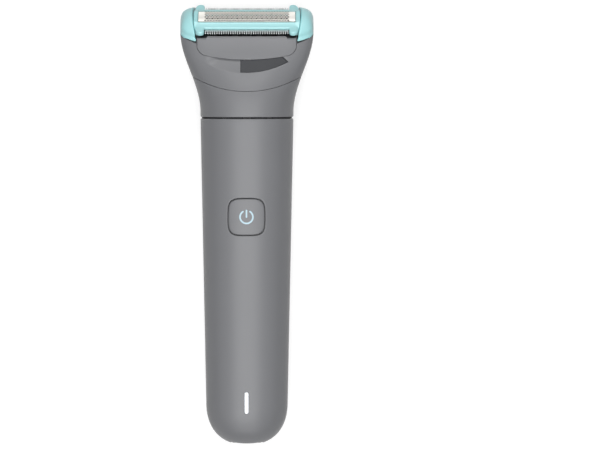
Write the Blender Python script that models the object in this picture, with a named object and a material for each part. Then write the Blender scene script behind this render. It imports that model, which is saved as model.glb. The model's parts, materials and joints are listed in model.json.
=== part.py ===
"""Cordless body groomer: a two-shell handle, a flared head that pulls off and a rocking foil cartridge.

Design frame: X across, Y along from the lower end of the handle, Z through from its long axis to the front.
The root empty lays the groomer on its back, so that world Z is up out of the button face.
"""

import math

import bmesh
import bpy
from mathutils import Matrix, Vector

MM = 0.001

# Clearances
SEAT_GAP = 0.3 * MM  # between pieces that rest on each other
RUN_GAP = 0.4 * MM  # beside pieces that slide or turn
PRESS_GAP = 0.1 * MM  # left under the button when it is fully pressed
PIN_GAP = 0.25 * MM  # round pins and shanks in their holes
MERGE = 0.00001
OVERCUT = 5.0 * MM  # how far a cutter runs past the face it opens
WIDE = 80.0 * MM  # larger than any section of the groomer
LONG = 320.0 * MM  # longer than the groomer

# Handle
HANDLE_TOP = 130.35 * MM
HALF_WIDTH_LOW = 16.3 * MM
HALF_WIDTH_TOP = 18.6 * MM
FRONT_ROOM_LOW = 11.6 * MM  # from the handle's axis to the inside of the front wall, at the lower end
FRONT_ROOM_TOP = 13.2 * MM
CELL_SPACE = 0.715 * MM  # between the battery and the inside of the rear wall
REST_CUT = 0.4 * MM  # depth of the flat that the back rests on
END_HEIGHT = 17.6 * MM
END_POWER = 2.35
END_START = math.radians(14)
END_STEPS = 6
SECTION_POWER = 2.3
SIDES = 40
WALL = 2.0 * MM
PARTING_GAP = 0.3 * MM

# Neck, head and the tilted pivot axis of the cartridge
GASKET_THICK = 0.4 * MM
GASKET_SPACE = 0.25 * MM
GASKET_INSET = 0.5 * MM
GASKET_WIDTH = 2.2 * MM
HEAD_LENGTH = 37.2 * MM  # from the neck's lower face to the pivot
HEAD_HALF_WIDTH = 26.6 * MM
HEAD_HALF_DEPTH = 9.5 * MM
HEAD_POWER = 4.0
SEAM_TILT = math.radians(2.3)  # the seam under the neck runs a little lower at the front
HEAD_TILT = math.radians(42)
PIVOT_RISE = 2.0 * MM
REAR_HOLD = 6  # how long the back of the head stays deep before it turns in to the cartridge
POWER_HOLD = 4  # how long the head's section stays as round as the handle's
FLARE_START = 1.8 * MM  # above the neck's lower face
FLARE_END = 34.8 * MM
TILT_START = 0.1  # share of the head's length that stays square to the handle
HEAD_STEPS = 9
CROWN_HEIGHT = 5.0 * MM
CROWN_CORNER = 5.1 * MM
CROWN_SWEEP = math.radians(76)
CROWN_STEPS = 3
HEAD_WALL = 2.2 * MM
ARC_LOW = 9.4 * MM  # lowest point of the curved seam, above the neck's lower face
ARC_RADIUS = 40.7 * MM
ARC_SIDES = 72
NECK_FLOOR = 2.0 * MM
SPIGOT_HALF_WIDTH = 15.5 * MM
SPIGOT_FRONT = 8.2 * MM
SPIGOT_REAR = 9.6 * MM
SPIGOT_WALL = 1.5 * MM
SPIGOT_RISE = 15.0 * MM

# Caps, front plate, thumb recess and release catch
CAP_THICK = 4.5 * MM
CAP_INNER = 6.4 * MM  # the cap's tips, in from the head's side
CAP_DROP = 4.9 * MM  # the cap's lower plane at its tips, under the pivot
CAP_TILT = math.radians(22)
CAP_RISE = 0.32  # how steeply that plane climbs to the side
DOME_BACK = 2.4 * MM  # centre of the cap's hollow, past the middle of the head
DOME_SEGMENTS = 28
TROUGH_LEVEL = -0.8 * MM
ROCK_GAP = 0.9 * MM  # round the lower body of the cartridge, for its rocking
ARM_GAP = 0.5 * MM
PLATE_GAP = 0.35 * MM
PLATE_LOW = 22.3 * MM  # lower edge of the front plate, above the neck's lower face
PLATE_SAG = 2.3 * MM
PLATE_CORNER = 3.5 * MM
PLATE_STEPS = 20
LIP_TOP = 0.9 * MM  # the plate's lip in front of the comb, above the pivot plane
RECESS_DEPTH = 1.1 * MM
RECESS_HALF_WIDTH = 17.5 * MM
RECESS_DROP = 5.6 * MM  # lowest point of the recess, under the plate's edge
RECESS_END = 2.8 * MM
RECESS_SLANT = 2.3 * MM  # how far the upper corners stand in from the tips
RECESS_STEPS = 16
CATCH_LEFT = -2.4 * MM
CATCH_FACE = 0.5 * MM  # under the head's skin
CATCH_THICK = 2.6 * MM

# Button, its symbol and the board under it
BUTTON_ALONG = 91.0 * MM
BUTTON_HALF = 7.1 * MM
BUTTON_POWER = 4.0
BUTTON_STEPS = 32
FLANGE_LIP = 1.3 * MM
FLANGE_THICK = 1.0 * MM
BUTTON_TRAVEL = 0.5 * MM
ICON_RADIUS = 2.55 * MM
ICON_STROKE = 0.65 * MM
ICON_BAR = 3.2 * MM
ICON_OPENING = math.radians(34)
ICON_PLATE_HALF = 4.2 * MM
ICON_PLATE_THICK = 0.8 * MM
ICON_STEPS = 28
SEAL_THICK = 0.7 * MM
SWITCH_HALF = 3.1 * MM
SWITCH_BODY = 1.8 * MM
PLUNGER_HEIGHT = 0.8 * MM
PLUNGER_RADIUS = 1.6 * MM
BOARD_THICK = 1.2 * MM
BOARD_HALF_WIDTH = 7.6 * MM
BOARD_LOW = 14.0 * MM
LED_HALF = 0.8 * MM
LED_LENGTH = 2.0 * MM
LED_HEIGHT = 1.0 * MM
BUTTON_LED_OFFSET = 5.5 * MM
SLIT_LOW = 13.0 * MM
SLIT_LENGTH = 8.4 * MM
SLIT_HALF_WIDTH = 0.75 * MM
PIPE_FLANGE = 1.2 * MM
PIPE_FLANGE_THICK = 1.5 * MM

# Inner frame, battery and motor
FRAME_THICK = 1.4 * MM
FRAME_HALF_WIDTH = 12.0 * MM
BULKHEAD_THICK = 1.6 * MM
BULKHEAD_HALF_WIDTH = 7.6 * MM
BULKHEAD_DEPTH = 12.6 * MM
BATTERY_RADIUS = 7.0 * MM
BATTERY_SIDES = 32
BATTERY_LENGTH = 50.0 * MM
BATTERY_NUB_RADIUS = 2.6 * MM
BATTERY_NUB = 0.9 * MM
TAB_THICK = 0.4 * MM
TAB_HALF_WIDTH = 2.0 * MM
TAB_REACH = 8.0 * MM
MOTOR_RADIUS = 9.5 * MM
MOTOR_FLAT = 6.5 * MM
MOTOR_LENGTH = 32.0 * MM
MOTOR_STEPS = 10
BELL_LENGTH = 3.8 * MM
MOTOR_BOSS_RADIUS = 3.0 * MM
MOTOR_BOSS = 1.4 * MM
TERMINAL_OFFSET = 3.4 * MM
TERMINAL_HALF = 0.9 * MM
TERMINAL_THICK = 0.5 * MM
TERMINAL_DEPTH = 2.6 * MM
POST_HEIGHT = 0.5 * MM  # tabs and terminals above the board
SHAFT_RADIUS = 1.0 * MM
SHAFT_IN_MOTOR = 24.0 * MM
CAM_RADIUS = 4.0 * MM
CAM_LENGTH = 5.2 * MM
CAM_THROW = 1.0 * MM
CAM_PIN_RADIUS = 1.0 * MM
CAM_PIN = 4.0 * MM
CAM_SPACE = 2.1 * MM  # between the upper bulkhead and the cam

# Drive through the deck
DECK_THICK = 5.7 * MM
BRIDGE_HALF_WIDTH = 8.0 * MM
BRIDGE_HALF_DEPTH = 4.4 * MM
BRIDGE_ROOF = 1.5 * MM
BRIDGE_POCKET = 3.9 * MM
FINGER_HALF = 1.5 * MM
BOOT_RADIUS = 4.4 * MM
BOOT_TIP_RADIUS = 2.7 * MM
BOOT_HEIGHT = 5.0 * MM

# Screws
FRAME_SCREW_ALONG = 44.0 * MM
BOARD_SCREW_ALONG = (30.0 * MM, 62.0 * MM)
NECK_SCREW_ACROSS = 9.0 * MM
SCREW_RADIUS = 0.9 * MM
SCREW_HEAD_RADIUS = 1.8 * MM
SCREW_HEAD = 1.2 * MM
SCREW_BITE = 6.0 * MM
BOSS_WALL = 1.1 * MM

# Charging socket
SOCKET_MOUTH = 0.58 * MM  # where the opening for the socket takes off the tip of the handle
SOCKET_FACE = 1.0 * MM
SOCKET_HALF_WIDTH = 6.0 * MM
SOCKET_HALF_DEPTH = 4.4 * MM
SOCKET_LENGTH = 12.0 * MM
SOCKET_WALL = 1.1 * MM
SOCKET_POCKET = 10.2 * MM
SOCKET_CORNER = 2.2 * MM
CORNER_STEPS = 4
CHARGE_PIN_ACROSS = 2.3 * MM
CHARGE_PIN_RADIUS = 0.75 * MM
CHARGE_PIN_SHOWN = 5.0 * MM
CHARGE_PIN_TAIL = 1.0 * MM
SOCKET_GASKET_ALONG = 8.0 * MM
SOCKET_GASKET_THICK = 1.2 * MM
SOCKET_GASKET_WIDTH = 1.4 * MM

# Cartridge, in its own frame: Y to the rear, Z out through the foil, pivot axis at the origin
FOIL_TOP = 4.0 * MM
FOIL_HALF_DEPTH = 3.3 * MM
FOIL_RISE = 0.65 * MM
FOIL_LEG = 0.9 * MM
FOIL_THICK = 0.2 * MM
FOIL_STEPS = 10
FOIL_END = 2.4 * MM  # frame beyond the foil at each end
BAR_WIDTH = 2.3 * MM
BAR_SLOPE = 1.1 * MM
BAR_THICK = 1.0 * MM
BAR_DRAFT = 0.15 * MM  # rise of the bar's underside to the frame's body
FRAME_BODY_WALL = 1.2 * MM
FRAME_BODY_LOW = -2.6 * MM
CAVITY_END = 3.2 * MM
SEAT_LEVEL = 1.9 * MM
EAR_LENGTH = 4.8 * MM
EAR_PAST = 3.1 * MM  # beyond the bars
EAR_LOW = 0.6 * MM
EAR_THICK = 1.9 * MM
EAR_BEVEL = 0.7 * MM
BEVEL_SEGMENTS = 2
ROUND_PROFILE = 0.5
PIN_RADIUS = 1.5 * MM
PIN_LENGTH = 4.4 * MM
PIN_IN_FRAME = 2.0 * MM
COMB_DEPTH = 2.35 * MM
COMB_THICK = 0.4 * MM
COMB_LEVEL = 1.1 * MM
COMB_SPINE = 0.9 * MM
GUARD_TEETH = 42
BLADE_TEETH = 28
BLADE_INSET = 0.2 * MM
BLADE_ROOT = 0.9 * MM
BLADE_GAP = 0.2 * MM

# Cutters under the foil and the trimmers
CUTTER_SWING = 1.0 * MM
CUTTER_HALF_DEPTH = 2.7 * MM
CUTTER_BASE = -1.1 * MM
CUTTER_ROOT = 0.6 * MM
CUTTER_GAP = 0.2 * MM
BLADE_COUNT = 18
CUTTER_SIDES = 36
CARRIAGE_THICK = 1.2 * MM
CARRIAGE_HALF_DEPTH = 2.9 * MM
CARRIAGE_HALF_LENGTH = 14.0 * MM
ARM_LENGTH = 6.0 * MM
ARM_THICK = 0.7 * MM
ARM_FLOOR = 1.1 * MM
FORK_PRONG = 1.8 * MM
FORK_HALF_DEPTH = 2.6 * MM
FORK_LENGTH = 4.2 * MM
FINGER_REACH = 7.0 * MM  # below the pivot, where the finger meets the fork
SPRING_ACROSS = 9.0 * MM
SPRING_RADIUS = 1.2 * MM
SPRING_WIRE = 0.18 * MM
SPRING_TURNS = 2
SPRING_POINTS = 10

ROUND_SIDES = 20
SCREW_SIDES = 10
SHARP_ANGLE = math.radians(32)
EMPTY_SIZE = 5.0 * MM

# Levels that follow from the sizes above
FRONT_DEPTH_LOW = FRONT_ROOM_LOW + WALL
FRONT_DEPTH_TOP = FRONT_ROOM_TOP + WALL
NECK_LOW = HANDLE_TOP + 2 * GASKET_SPACE + GASKET_THICK
PIVOT_ALONG = NECK_LOW + HEAD_LENGTH
APERTURE_HALF = FOIL_HALF_DEPTH + SEAT_GAP
BAR_OUTER = APERTURE_HALF + BAR_WIDTH
BODY_OUTER = APERTURE_HALF + FRAME_BODY_WALL
FOIL_RADIUS = (FOIL_HALF_DEPTH**2 + FOIL_RISE**2) / (2 * FOIL_RISE)
END_HALF = HEAD_HALF_WIDTH - CAP_THICK  # where the gap beside the cartridge ends
FRAME_HALF = END_HALF - RUN_GAP
FOIL_HALF = FRAME_HALF - FOIL_END
EAR_INNER = FRAME_HALF - EAR_LENGTH
CAP_DOME = END_HALF + DOME_BACK
CAP_TIP = HEAD_HALF_WIDTH - CAP_INNER
PLATE_HALF_WIDTH = CAP_TIP - PLATE_GAP
CARRIAGE_LOW = FRAME_BODY_LOW - SEAT_GAP - ARM_FLOOR
ARM_INNER = BODY_OUTER + SEAT_GAP
EAR_HALF_DEPTH = BAR_OUTER + EAR_PAST
EAR_TOP = EAR_LOW + EAR_THICK
EAR_REACH = (
    (EAR_HALF_DEPTH - EAR_BEVEL) * math.sin(HEAD_TILT)
    + (EAR_TOP - EAR_BEVEL) * math.cos(HEAD_TILT)
    + EAR_BEVEL
)
LENGTH_MIDDLE = (SOCKET_MOUTH + PIVOT_ALONG + EAR_REACH) / 2


def smoothstep(share):
    share = min(max(share, 0.0), 1.0)
    return share * share * (3 - 2 * share)


def handle_share(along):
    return (along - END_HEIGHT) / (HANDLE_TOP - END_HEIGHT)


def handle_width(along):
    return HALF_WIDTH_LOW + (HALF_WIDTH_TOP - HALF_WIDTH_LOW) * handle_share(along)


def handle_front(along):
    return FRONT_DEPTH_LOW + (FRONT_DEPTH_TOP - FRONT_DEPTH_LOW) * handle_share(along)


def front_inside(across, along):
    """Height of the inside of the front wall over the handle's axis."""
    share = abs(across) / (handle_width(along) - WALL)
    return (handle_front(along) - WALL) * (1 - share**SECTION_POWER) ** (1 / SECTION_POWER)


def oval(half_width, front, rear, power, count=SIDES):
    """Superellipse points (across, through) with its own depth to the front and to the rear."""
    points = []
    for step in range(count):
        angle = 2 * math.pi * step / count
        cosine, sine = math.cos(angle), math.sin(angle)
        depth = front if sine > 0 else rear
        across = half_width * math.copysign(abs(cosine) ** (2 / power), cosine)
        points.append((across, depth * math.copysign(abs(sine) ** (2 / power), sine)))
    return points


def level_loop(along, half_width, front, rear, power=SECTION_POWER, tilt=0.0, rise=0.0):
    """Section of the handle or head at along, tilted so that its front runs lower."""
    loop = []
    for across, through in oval(half_width, front, rear, power):
        loop.append(Vector((across, along - through * math.sin(tilt), rise + through * math.cos(tilt))))
    return loop


def handle_loops(inset, top):
    """Loops of the handle's skin, drawn in by inset, from the rounded lower end to top."""
    loops = []
    for step in range(END_STEPS + 1):
        angle = END_START + (math.pi / 2 - END_START) * step / END_STEPS
        swell = math.sin(angle) ** (2 / END_POWER)
        along = END_HEIGHT - (END_HEIGHT - inset) * math.cos(angle) ** (2 / END_POWER)
        loops.append(
            level_loop(
                along,
                swell * (HALF_WIDTH_LOW - inset),
                swell * (FRONT_DEPTH_LOW - inset),
                swell * (REAR_DEPTH - inset),
            )
        )
    sizes = handle_width(top) - inset, handle_front(top) - inset, REAR_DEPTH - inset
    loops.append(level_loop(top, *sizes, tilt=SEAM_TILT))
    return loops


def head_width(along):
    share = (along - NECK_LOW - FLARE_START) / (FLARE_END - FLARE_START)
    return HALF_WIDTH_TOP + (HEAD_HALF_WIDTH - HALF_WIDTH_TOP) * smoothstep(share)


def head_loop(share, inset):
    """One loop of the head's skin, from the seam at share 0 to the tilted pivot plane at share 1."""
    along = NECK_LOW + share * HEAD_LENGTH
    blend = smoothstep(share)
    tilt = SEAM_TILT + (HEAD_TILT - SEAM_TILT) * smoothstep((share - TILT_START) / (1 - TILT_START))
    front = FRONT_DEPTH_TOP + (HEAD_HALF_DEPTH - FRONT_DEPTH_TOP) * blend - inset
    rear = REAR_DEPTH + (HEAD_HALF_DEPTH - REAR_DEPTH) * share**REAR_HOLD - inset
    power = SECTION_POWER + (HEAD_POWER - SECTION_POWER) * share**POWER_HOLD
    return level_loop(along, head_width(along) - inset, front, rear, power, tilt, PIVOT_RISE * blend)


def crown_loop(share, inset):
    """One loop of the head's rounded top, above the pivot plane."""
    angle = share * CROWN_SWEEP
    height = (CROWN_HEIGHT - inset) * math.sin(angle)
    half_width = HEAD_HALF_WIDTH - inset - CROWN_CORNER * (1 - math.cos(angle))
    half_depth = (HEAD_HALF_DEPTH - inset) * math.cos(angle)
    return [
        tilted(Vector((across, -through, height)))
        for across, through in oval(half_width, half_depth, half_depth, HEAD_POWER)
    ]


def tilted(point):
    """A point of the cartridge's own frame in the design frame."""
    return CARTRIDGE_PLACE @ point


def head_loops(inset, crown, low=0.0):
    loops = [head_loop(low + (1 - low) * step / HEAD_STEPS, inset) for step in range(HEAD_STEPS + 1)]
    if crown:
        loops += [crown_loop((step + 1) / CROWN_STEPS, inset) for step in range(CROWN_STEPS)]
    return loops


CARTRIDGE_PLACE = Matrix.Translation((0, PIVOT_ALONG, PIVOT_RISE)) @ Matrix.Rotation(
    HEAD_TILT - math.pi / 2, 4, "X"
)


def clear_scene():
    for item in list(bpy.data.objects):
        bpy.data.objects.remove(item)


def collection(name):
    group = bpy.data.collections.new(name)
    bpy.context.scene.collection.children.link(group)
    return group


def empty(name, parent, place):
    item = bpy.data.objects.new(name, None)
    item.empty_display_size = EMPTY_SIZE
    item.parent = parent
    item.matrix_local = place
    PARTS.objects.link(item)
    return item


def material(name, colour, roughness, metallic=0.0):
    made = bpy.data.materials.new(name)
    made.use_nodes = True
    shader = made.node_tree.nodes["Principled BSDF"]
    shader.inputs["Base Color"].default_value = (*colour, 1)
    shader.inputs["Roughness"].default_value = roughness
    shader.inputs["Metallic"].default_value = metallic
    return made


def mesh_of(bm, name):
    bmesh.ops.recalc_face_normals(bm, faces=bm.faces)
    mesh = bpy.data.meshes.new(name)
    bm.to_mesh(mesh)
    bm.free()
    mesh.shade_smooth()
    mesh.set_sharp_from_angle(angle=SHARP_ANGLE)
    return mesh


def loft(loops, split=False, name="loft"):
    """Closed solid through loops whose points match one to one; split leaves no warped faces."""
    bm = bmesh.new()
    rings = [[bm.verts.new(point) for point in loop] for loop in loops]
    for low, high in zip(rings, rings[1:]):
        for here in range(len(low)):
            there = (here + 1) % len(low)
            bm.faces.new((low[here], low[there], high[there], high[here]))
    bm.faces.new(rings[0])
    bm.faces.new(rings[-1])
    if split:
        bmesh.ops.triangulate(bm, faces=bm.faces)
    return mesh_of(bm, name)


def block(low, high, bevel=0.0, name="block"):
    low, high = Vector(low), Vector(high)
    bm = bmesh.new()
    size = Matrix.Diagonal((*(high - low), 1))
    bmesh.ops.create_cube(bm, size=1, matrix=Matrix.Translation((low + high) / 2) @ size)
    if bevel:
        bmesh.ops.bevel(
            bm, geom=bm.edges, offset=bevel, segments=BEVEL_SEGMENTS, profile=ROUND_PROFILE, affect="EDGES"
        )
    return mesh_of(bm, name)


def rod(start, end, radius, tip_radius=None, sides=ROUND_SIDES, name="rod"):
    start, end = Vector(start), Vector(end)
    turn = (end - start).to_track_quat("Z", "Y").to_matrix().to_4x4()
    bm = bmesh.new()
    bmesh.ops.create_cone(
        bm,
        cap_ends=True,
        segments=sides,
        radius1=radius,
        radius2=radius if tip_radius is None else tip_radius,
        depth=(end - start).length,
        matrix=Matrix.Translation((start + end) / 2) @ turn,
    )
    return mesh_of(bm, name)


def ball(centre, radius, name="ball"):
    bm = bmesh.new()
    turn = Matrix.Rotation(math.pi / 2, 4, "Y")
    bmesh.ops.create_uvsphere(
        bm,
        u_segments=DOME_SEGMENTS,
        v_segments=DOME_SEGMENTS,
        radius=radius,
        matrix=Matrix.Translation(centre) @ turn,
    )
    return mesh_of(bm, name)


def curve_mesh(curve, name):
    """Mesh of a curve, with its caps welded."""
    drawn = bpy.data.objects.new(name, curve)
    bpy.context.scene.collection.objects.link(drawn)
    bpy.context.view_layer.update()
    read = drawn.evaluated_get(bpy.context.evaluated_depsgraph_get())
    mesh = bpy.data.meshes.new_from_object(read)
    bpy.data.objects.remove(drawn)
    bpy.data.curves.remove(curve)
    bm = bmesh.new()
    bm.from_mesh(mesh)
    bpy.data.meshes.remove(mesh)
    bmesh.ops.remove_doubles(bm, verts=bm.verts, dist=MERGE)
    return bm


def spline_of(curve, points, closed):
    spline = curve.splines.new("POLY")
    spline.points.add(len(points) - 1)
    for target, point in zip(spline.points, points):
        target.co = (*point, 1)
    spline.use_cyclic_u = closed


# Turns of a flat outline: (across, through) extruded along -Y, or (Y, Z) extruded along X
LYING_ALONG = Matrix.Rotation(math.pi / 2, 4, "X")
LYING_ACROSS = Matrix(((0, 0, 1, 0), (1, 0, 0, 0), (0, 1, 0, 0), (0, 0, 0, 1)))


def plate(points, low, high, turn=None, name="plate"):
    """Flat outline of (x, y) points, as thick as low to high along its own Z, then turned."""
    curve = bpy.data.curves.new(name, "CURVE")
    curve.dimensions = "2D"
    curve.fill_mode = "BOTH"
    curve.extrude = (high - low) / 2
    spline_of(curve, [(x, y, 0) for x, y in points], True)
    bm = curve_mesh(curve, name)
    place = Matrix.Translation((0, 0, (low + high) / 2))
    bmesh.ops.transform(bm, matrix=(turn or Matrix()) @ place, verts=bm.verts)
    return mesh_of(bm, name)


def along_plate(points, low, high, name="plate"):
    """Outline of (across, through) points that runs along Y from low to high."""
    return plate(points, -high, -low, LYING_ALONG, name)


def hang(item, parent):
    """Parent an item to an empty. Under a sliding piece's empty it is still drawn in the design frame."""
    item.parent = parent
    if parent in SLIDES:
        item.matrix_parent_inverse = parent.matrix_local.inverted()


def piece(name, mesh, finish, parent):
    mesh.name = name
    item = bpy.data.objects.new(name, mesh)
    item.data.materials.append(finish)
    hang(item, parent)
    PARTS.objects.link(item)
    return item


def tool(mesh, parent):
    item = bpy.data.objects.new("tool_" + mesh.name, mesh)
    hang(item, parent)
    item.hide_render = True
    item.display_type = "WIRE"
    CUTTERS.objects.link(item)
    return item


def combine(target, other, operation):
    step = target.modifiers.new(operation.lower(), "BOOLEAN")
    step.operation = operation
    step.object = other


def cut(target, *meshes):
    for mesh in meshes:
        combine(target, tool(mesh, target.parent), "DIFFERENCE")


def keep(target, *meshes):
    for mesh in meshes:
        combine(target, tool(mesh, target.parent), "INTERSECT")


def add(target, *meshes):
    for mesh in meshes:
        combine(target, tool(mesh, target.parent), "UNION")


def screw(name, seat, direction, bite, parent):
    """Pan-head screw whose head stands on seat; its shank runs bite deep along direction."""
    seat, direction = Vector(seat), Vector(direction)
    head = rod(seat, seat - direction * SCREW_HEAD, SCREW_HEAD_RADIUS, sides=SCREW_SIDES)
    item = piece(name, head, STEEL, parent)
    start = seat - direction * SCREW_HEAD / 2
    add(item, rod(start, seat + direction * bite, SCREW_RADIUS, sides=SCREW_SIDES))


def screw_hole(start, end):
    return rod(start, end, SCREW_RADIUS + PIN_GAP, sides=SCREW_SIDES)


def rounded_box(half_width, half_depth, corner):
    """Rounded rectangle of (across, through) points."""
    points = []
    for quarter in range(4):
        side_x = 1 if quarter in (0, 3) else -1
        side_z = 1 if quarter < 2 else -1
        for step in range(CORNER_STEPS + 1):
            angle = math.pi / 2 * (quarter + step / CORNER_STEPS)
            across = side_x * (half_width - corner) + corner * math.cos(angle)
            through = side_z * (half_depth - corner) + corner * math.sin(angle)
            points.append((across, through))
    return points


def button_outline(grow):
    half = BUTTON_HALF + grow
    return [(x, BUTTON_ALONG + y) for x, y in oval(half, half, half, BUTTON_POWER, BUTTON_STEPS)]


def slit_block(grow, low, high):
    return block(
        (-SLIT_HALF_WIDTH - grow, SLIT_LOW - grow, low),
        (SLIT_HALF_WIDTH + grow, SLIT_LOW + SLIT_LENGTH + grow, high),
    )


def build_levels():
    """Heights through the handle, worked down from the inside of the front wall to the motor's axis."""
    lip = BUTTON_HALF + FLANGE_LIP
    level = {"flange_top": front_inside(lip, BUTTON_ALONG - lip) - SEAT_GAP}
    level["flange_low"] = level["flange_top"] - FLANGE_THICK
    level["seal_top"] = level["flange_low"] - SEAT_GAP
    level["seal_low"] = level["seal_top"] - SEAL_THICK
    level["plunger_top"] = level["seal_low"] - BUTTON_TRAVEL - PRESS_GAP
    level["switch_top"] = level["plunger_top"] - PLUNGER_HEIGHT
    level["switch_low"] = level["switch_top"] - SWITCH_BODY
    level["board_top"] = level["switch_low"] - SEAT_GAP
    level["board_low"] = level["board_top"] - BOARD_THICK
    level["frame_top"] = level["board_low"] - SEAT_GAP
    level["frame_low"] = level["frame_top"] - FRAME_THICK
    level["battery"] = level["frame_low"] - SEAT_GAP - BATTERY_RADIUS
    level["motor"] = level["frame_low"] - SEAT_GAP - MOTOR_FLAT
    return level


def build_stations():
    """Places along the handle: the battery stands on the socket's end, the motor hangs under the deck."""
    at = {"bulkhead_low": SOCKET_FACE + SOCKET_LENGTH + CHARGE_PIN_TAIL + 2 * SEAT_GAP}
    at["tab_low"] = at["bulkhead_low"] + BULKHEAD_THICK + SEAT_GAP
    at["battery_low"] = at["tab_low"] + TAB_THICK + SEAT_GAP
    at["battery_top"] = at["battery_low"] + BATTERY_LENGTH
    at["tab_top"] = at["battery_top"] + BATTERY_NUB + SEAT_GAP
    at["bulkhead_mid"] = at["tab_top"] + TAB_THICK + SEAT_GAP
    at["deck_top"] = HANDLE_TOP - GASKET_SPACE
    at["deck_low"] = at["deck_top"] - DECK_THICK
    at["bridge_top"] = at["deck_low"] - SEAT_GAP
    at["bridge_low"] = at["bridge_top"] - BRIDGE_ROOF - BRIDGE_POCKET
    at["cam_top"] = at["bridge_low"] - 2 * SEAT_GAP
    at["cam_low"] = at["cam_top"] - CAM_LENGTH
    at["bulkhead_top"] = at["cam_low"] - CAM_SPACE
    at["motor_top"] = at["bulkhead_top"] - BULKHEAD_THICK - SEAT_GAP - MOTOR_BOSS
    at["motor_low"] = at["motor_top"] - MOTOR_LENGTH
    at["bell_low"] = at["motor_low"] - SEAT_GAP - BELL_LENGTH
    return at


def make_shells():
    half = {
        "front_shell": ((-WIDE, -WIDE, PARTING_GAP / 2), (WIDE, LONG, WIDE)),
        "rear_shell": ((-WIDE, -WIDE, -REST_DEPTH), (WIDE, LONG, -PARTING_GAP / 2)),
    }
    shells = {}
    for name, (low, high) in half.items():
        shell = piece(name, loft(handle_loops(0, HANDLE_TOP)), GREY, ROOT)
        cut(shell, loft(handle_loops(WALL, HANDLE_TOP + OVERCUT)))
        keep(shell, block(low, high))
        cut(shell, along_plate(socket_outline(SEAT_GAP), -OVERCUT, SOCKET_FACE + SOCKET_LENGTH))
        shells[name] = shell
    cut(
        shells["front_shell"],
        plate(button_outline(RUN_GAP), LEVEL["flange_top"], WIDE),
        slit_block(SEAT_GAP / 2, LEVEL["board_top"], WIDE),
    )
    for side in (-1, 1):
        foot = (side * boss_across(), FRAME_SCREW_ALONG, -WIDE)
        head = (side * boss_across(), FRAME_SCREW_ALONG, LEVEL["frame_low"] - SEAT_GAP)
        boss = tool(rod(foot, head, SCREW_RADIUS + PIN_GAP + BOSS_WALL), ROOT)
        combine(boss, tool(loft(handle_loops(WALL / 2, HANDLE_TOP)), ROOT), "INTERSECT")
        combine(shells["rear_shell"], boss, "UNION")
        seat = Vector((side * boss_across(), FRAME_SCREW_ALONG, LEVEL["frame_top"]))
        cut(shells["rear_shell"], screw_hole(seat, seat - Vector((0, 0, SCREW_BITE + FRAME_THICK))))


def boss_across():
    return BATTERY_RADIUS + SEAT_GAP + BOSS_WALL + PIN_GAP + SCREW_RADIUS


def socket_outline(grow):
    return rounded_box(SOCKET_HALF_WIDTH + grow, SOCKET_HALF_DEPTH + grow, SOCKET_CORNER + grow)


def make_socket():
    low, high = SOCKET_FACE, SOCKET_FACE + SOCKET_LENGTH
    socket = piece("charge_socket", along_plate(socket_outline(0), low, high), BLACK, ROOT)
    floor = low + SOCKET_POCKET
    cut(socket, along_plate(socket_outline(-SOCKET_WALL), low - OVERCUT, floor))
    for name, side in (("charge_pin_left", -1), ("charge_pin_right", 1)):
        across = side * CHARGE_PIN_ACROSS
        start, end = (across, floor - CHARGE_PIN_SHOWN, 0), (across, high + CHARGE_PIN_TAIL, 0)
        piece(name, rod(start, end, CHARGE_PIN_RADIUS), BRASS, ROOT)
        cut(socket, rod((across, floor - OVERCUT, 0), (across, WIDE, 0), CHARGE_PIN_RADIUS + PIN_GAP))
    ring = piece("socket_gasket", gasket_mesh(SOCKET_GASKET_WIDTH + SEAT_GAP), RUBBER, ROOT)
    cut(ring, gasket_mesh(SEAT_GAP, OVERCUT))


def gasket_mesh(grow, extra=0.0):
    top = SOCKET_GASKET_ALONG + SOCKET_GASKET_THICK
    return along_plate(socket_outline(grow), SOCKET_GASKET_ALONG - extra, top + extra)


def motor_outline():
    """Circle with a flat above and below."""
    reach = math.asin(MOTOR_FLAT / MOTOR_RADIUS)
    points = []
    for side in (0, math.pi):
        for step in range(MOTOR_STEPS + 1):
            angle = side + reach * (2 * step / MOTOR_STEPS - 1)
            across, through = MOTOR_RADIUS * math.cos(angle), MOTOR_RADIUS * math.sin(angle)
            points.append((across, through + LEVEL["motor"]))
    return points


def post_block(across, half_width, along, thick, low, grow=0.0):
    """Flat tab that stands up through the inner frame and the board."""
    return block(
        (across - half_width - grow, along - grow, low - grow),
        (across + half_width + grow, along + thick + grow, LEVEL["board_top"] + POST_HEIGHT + grow),
    )


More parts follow.
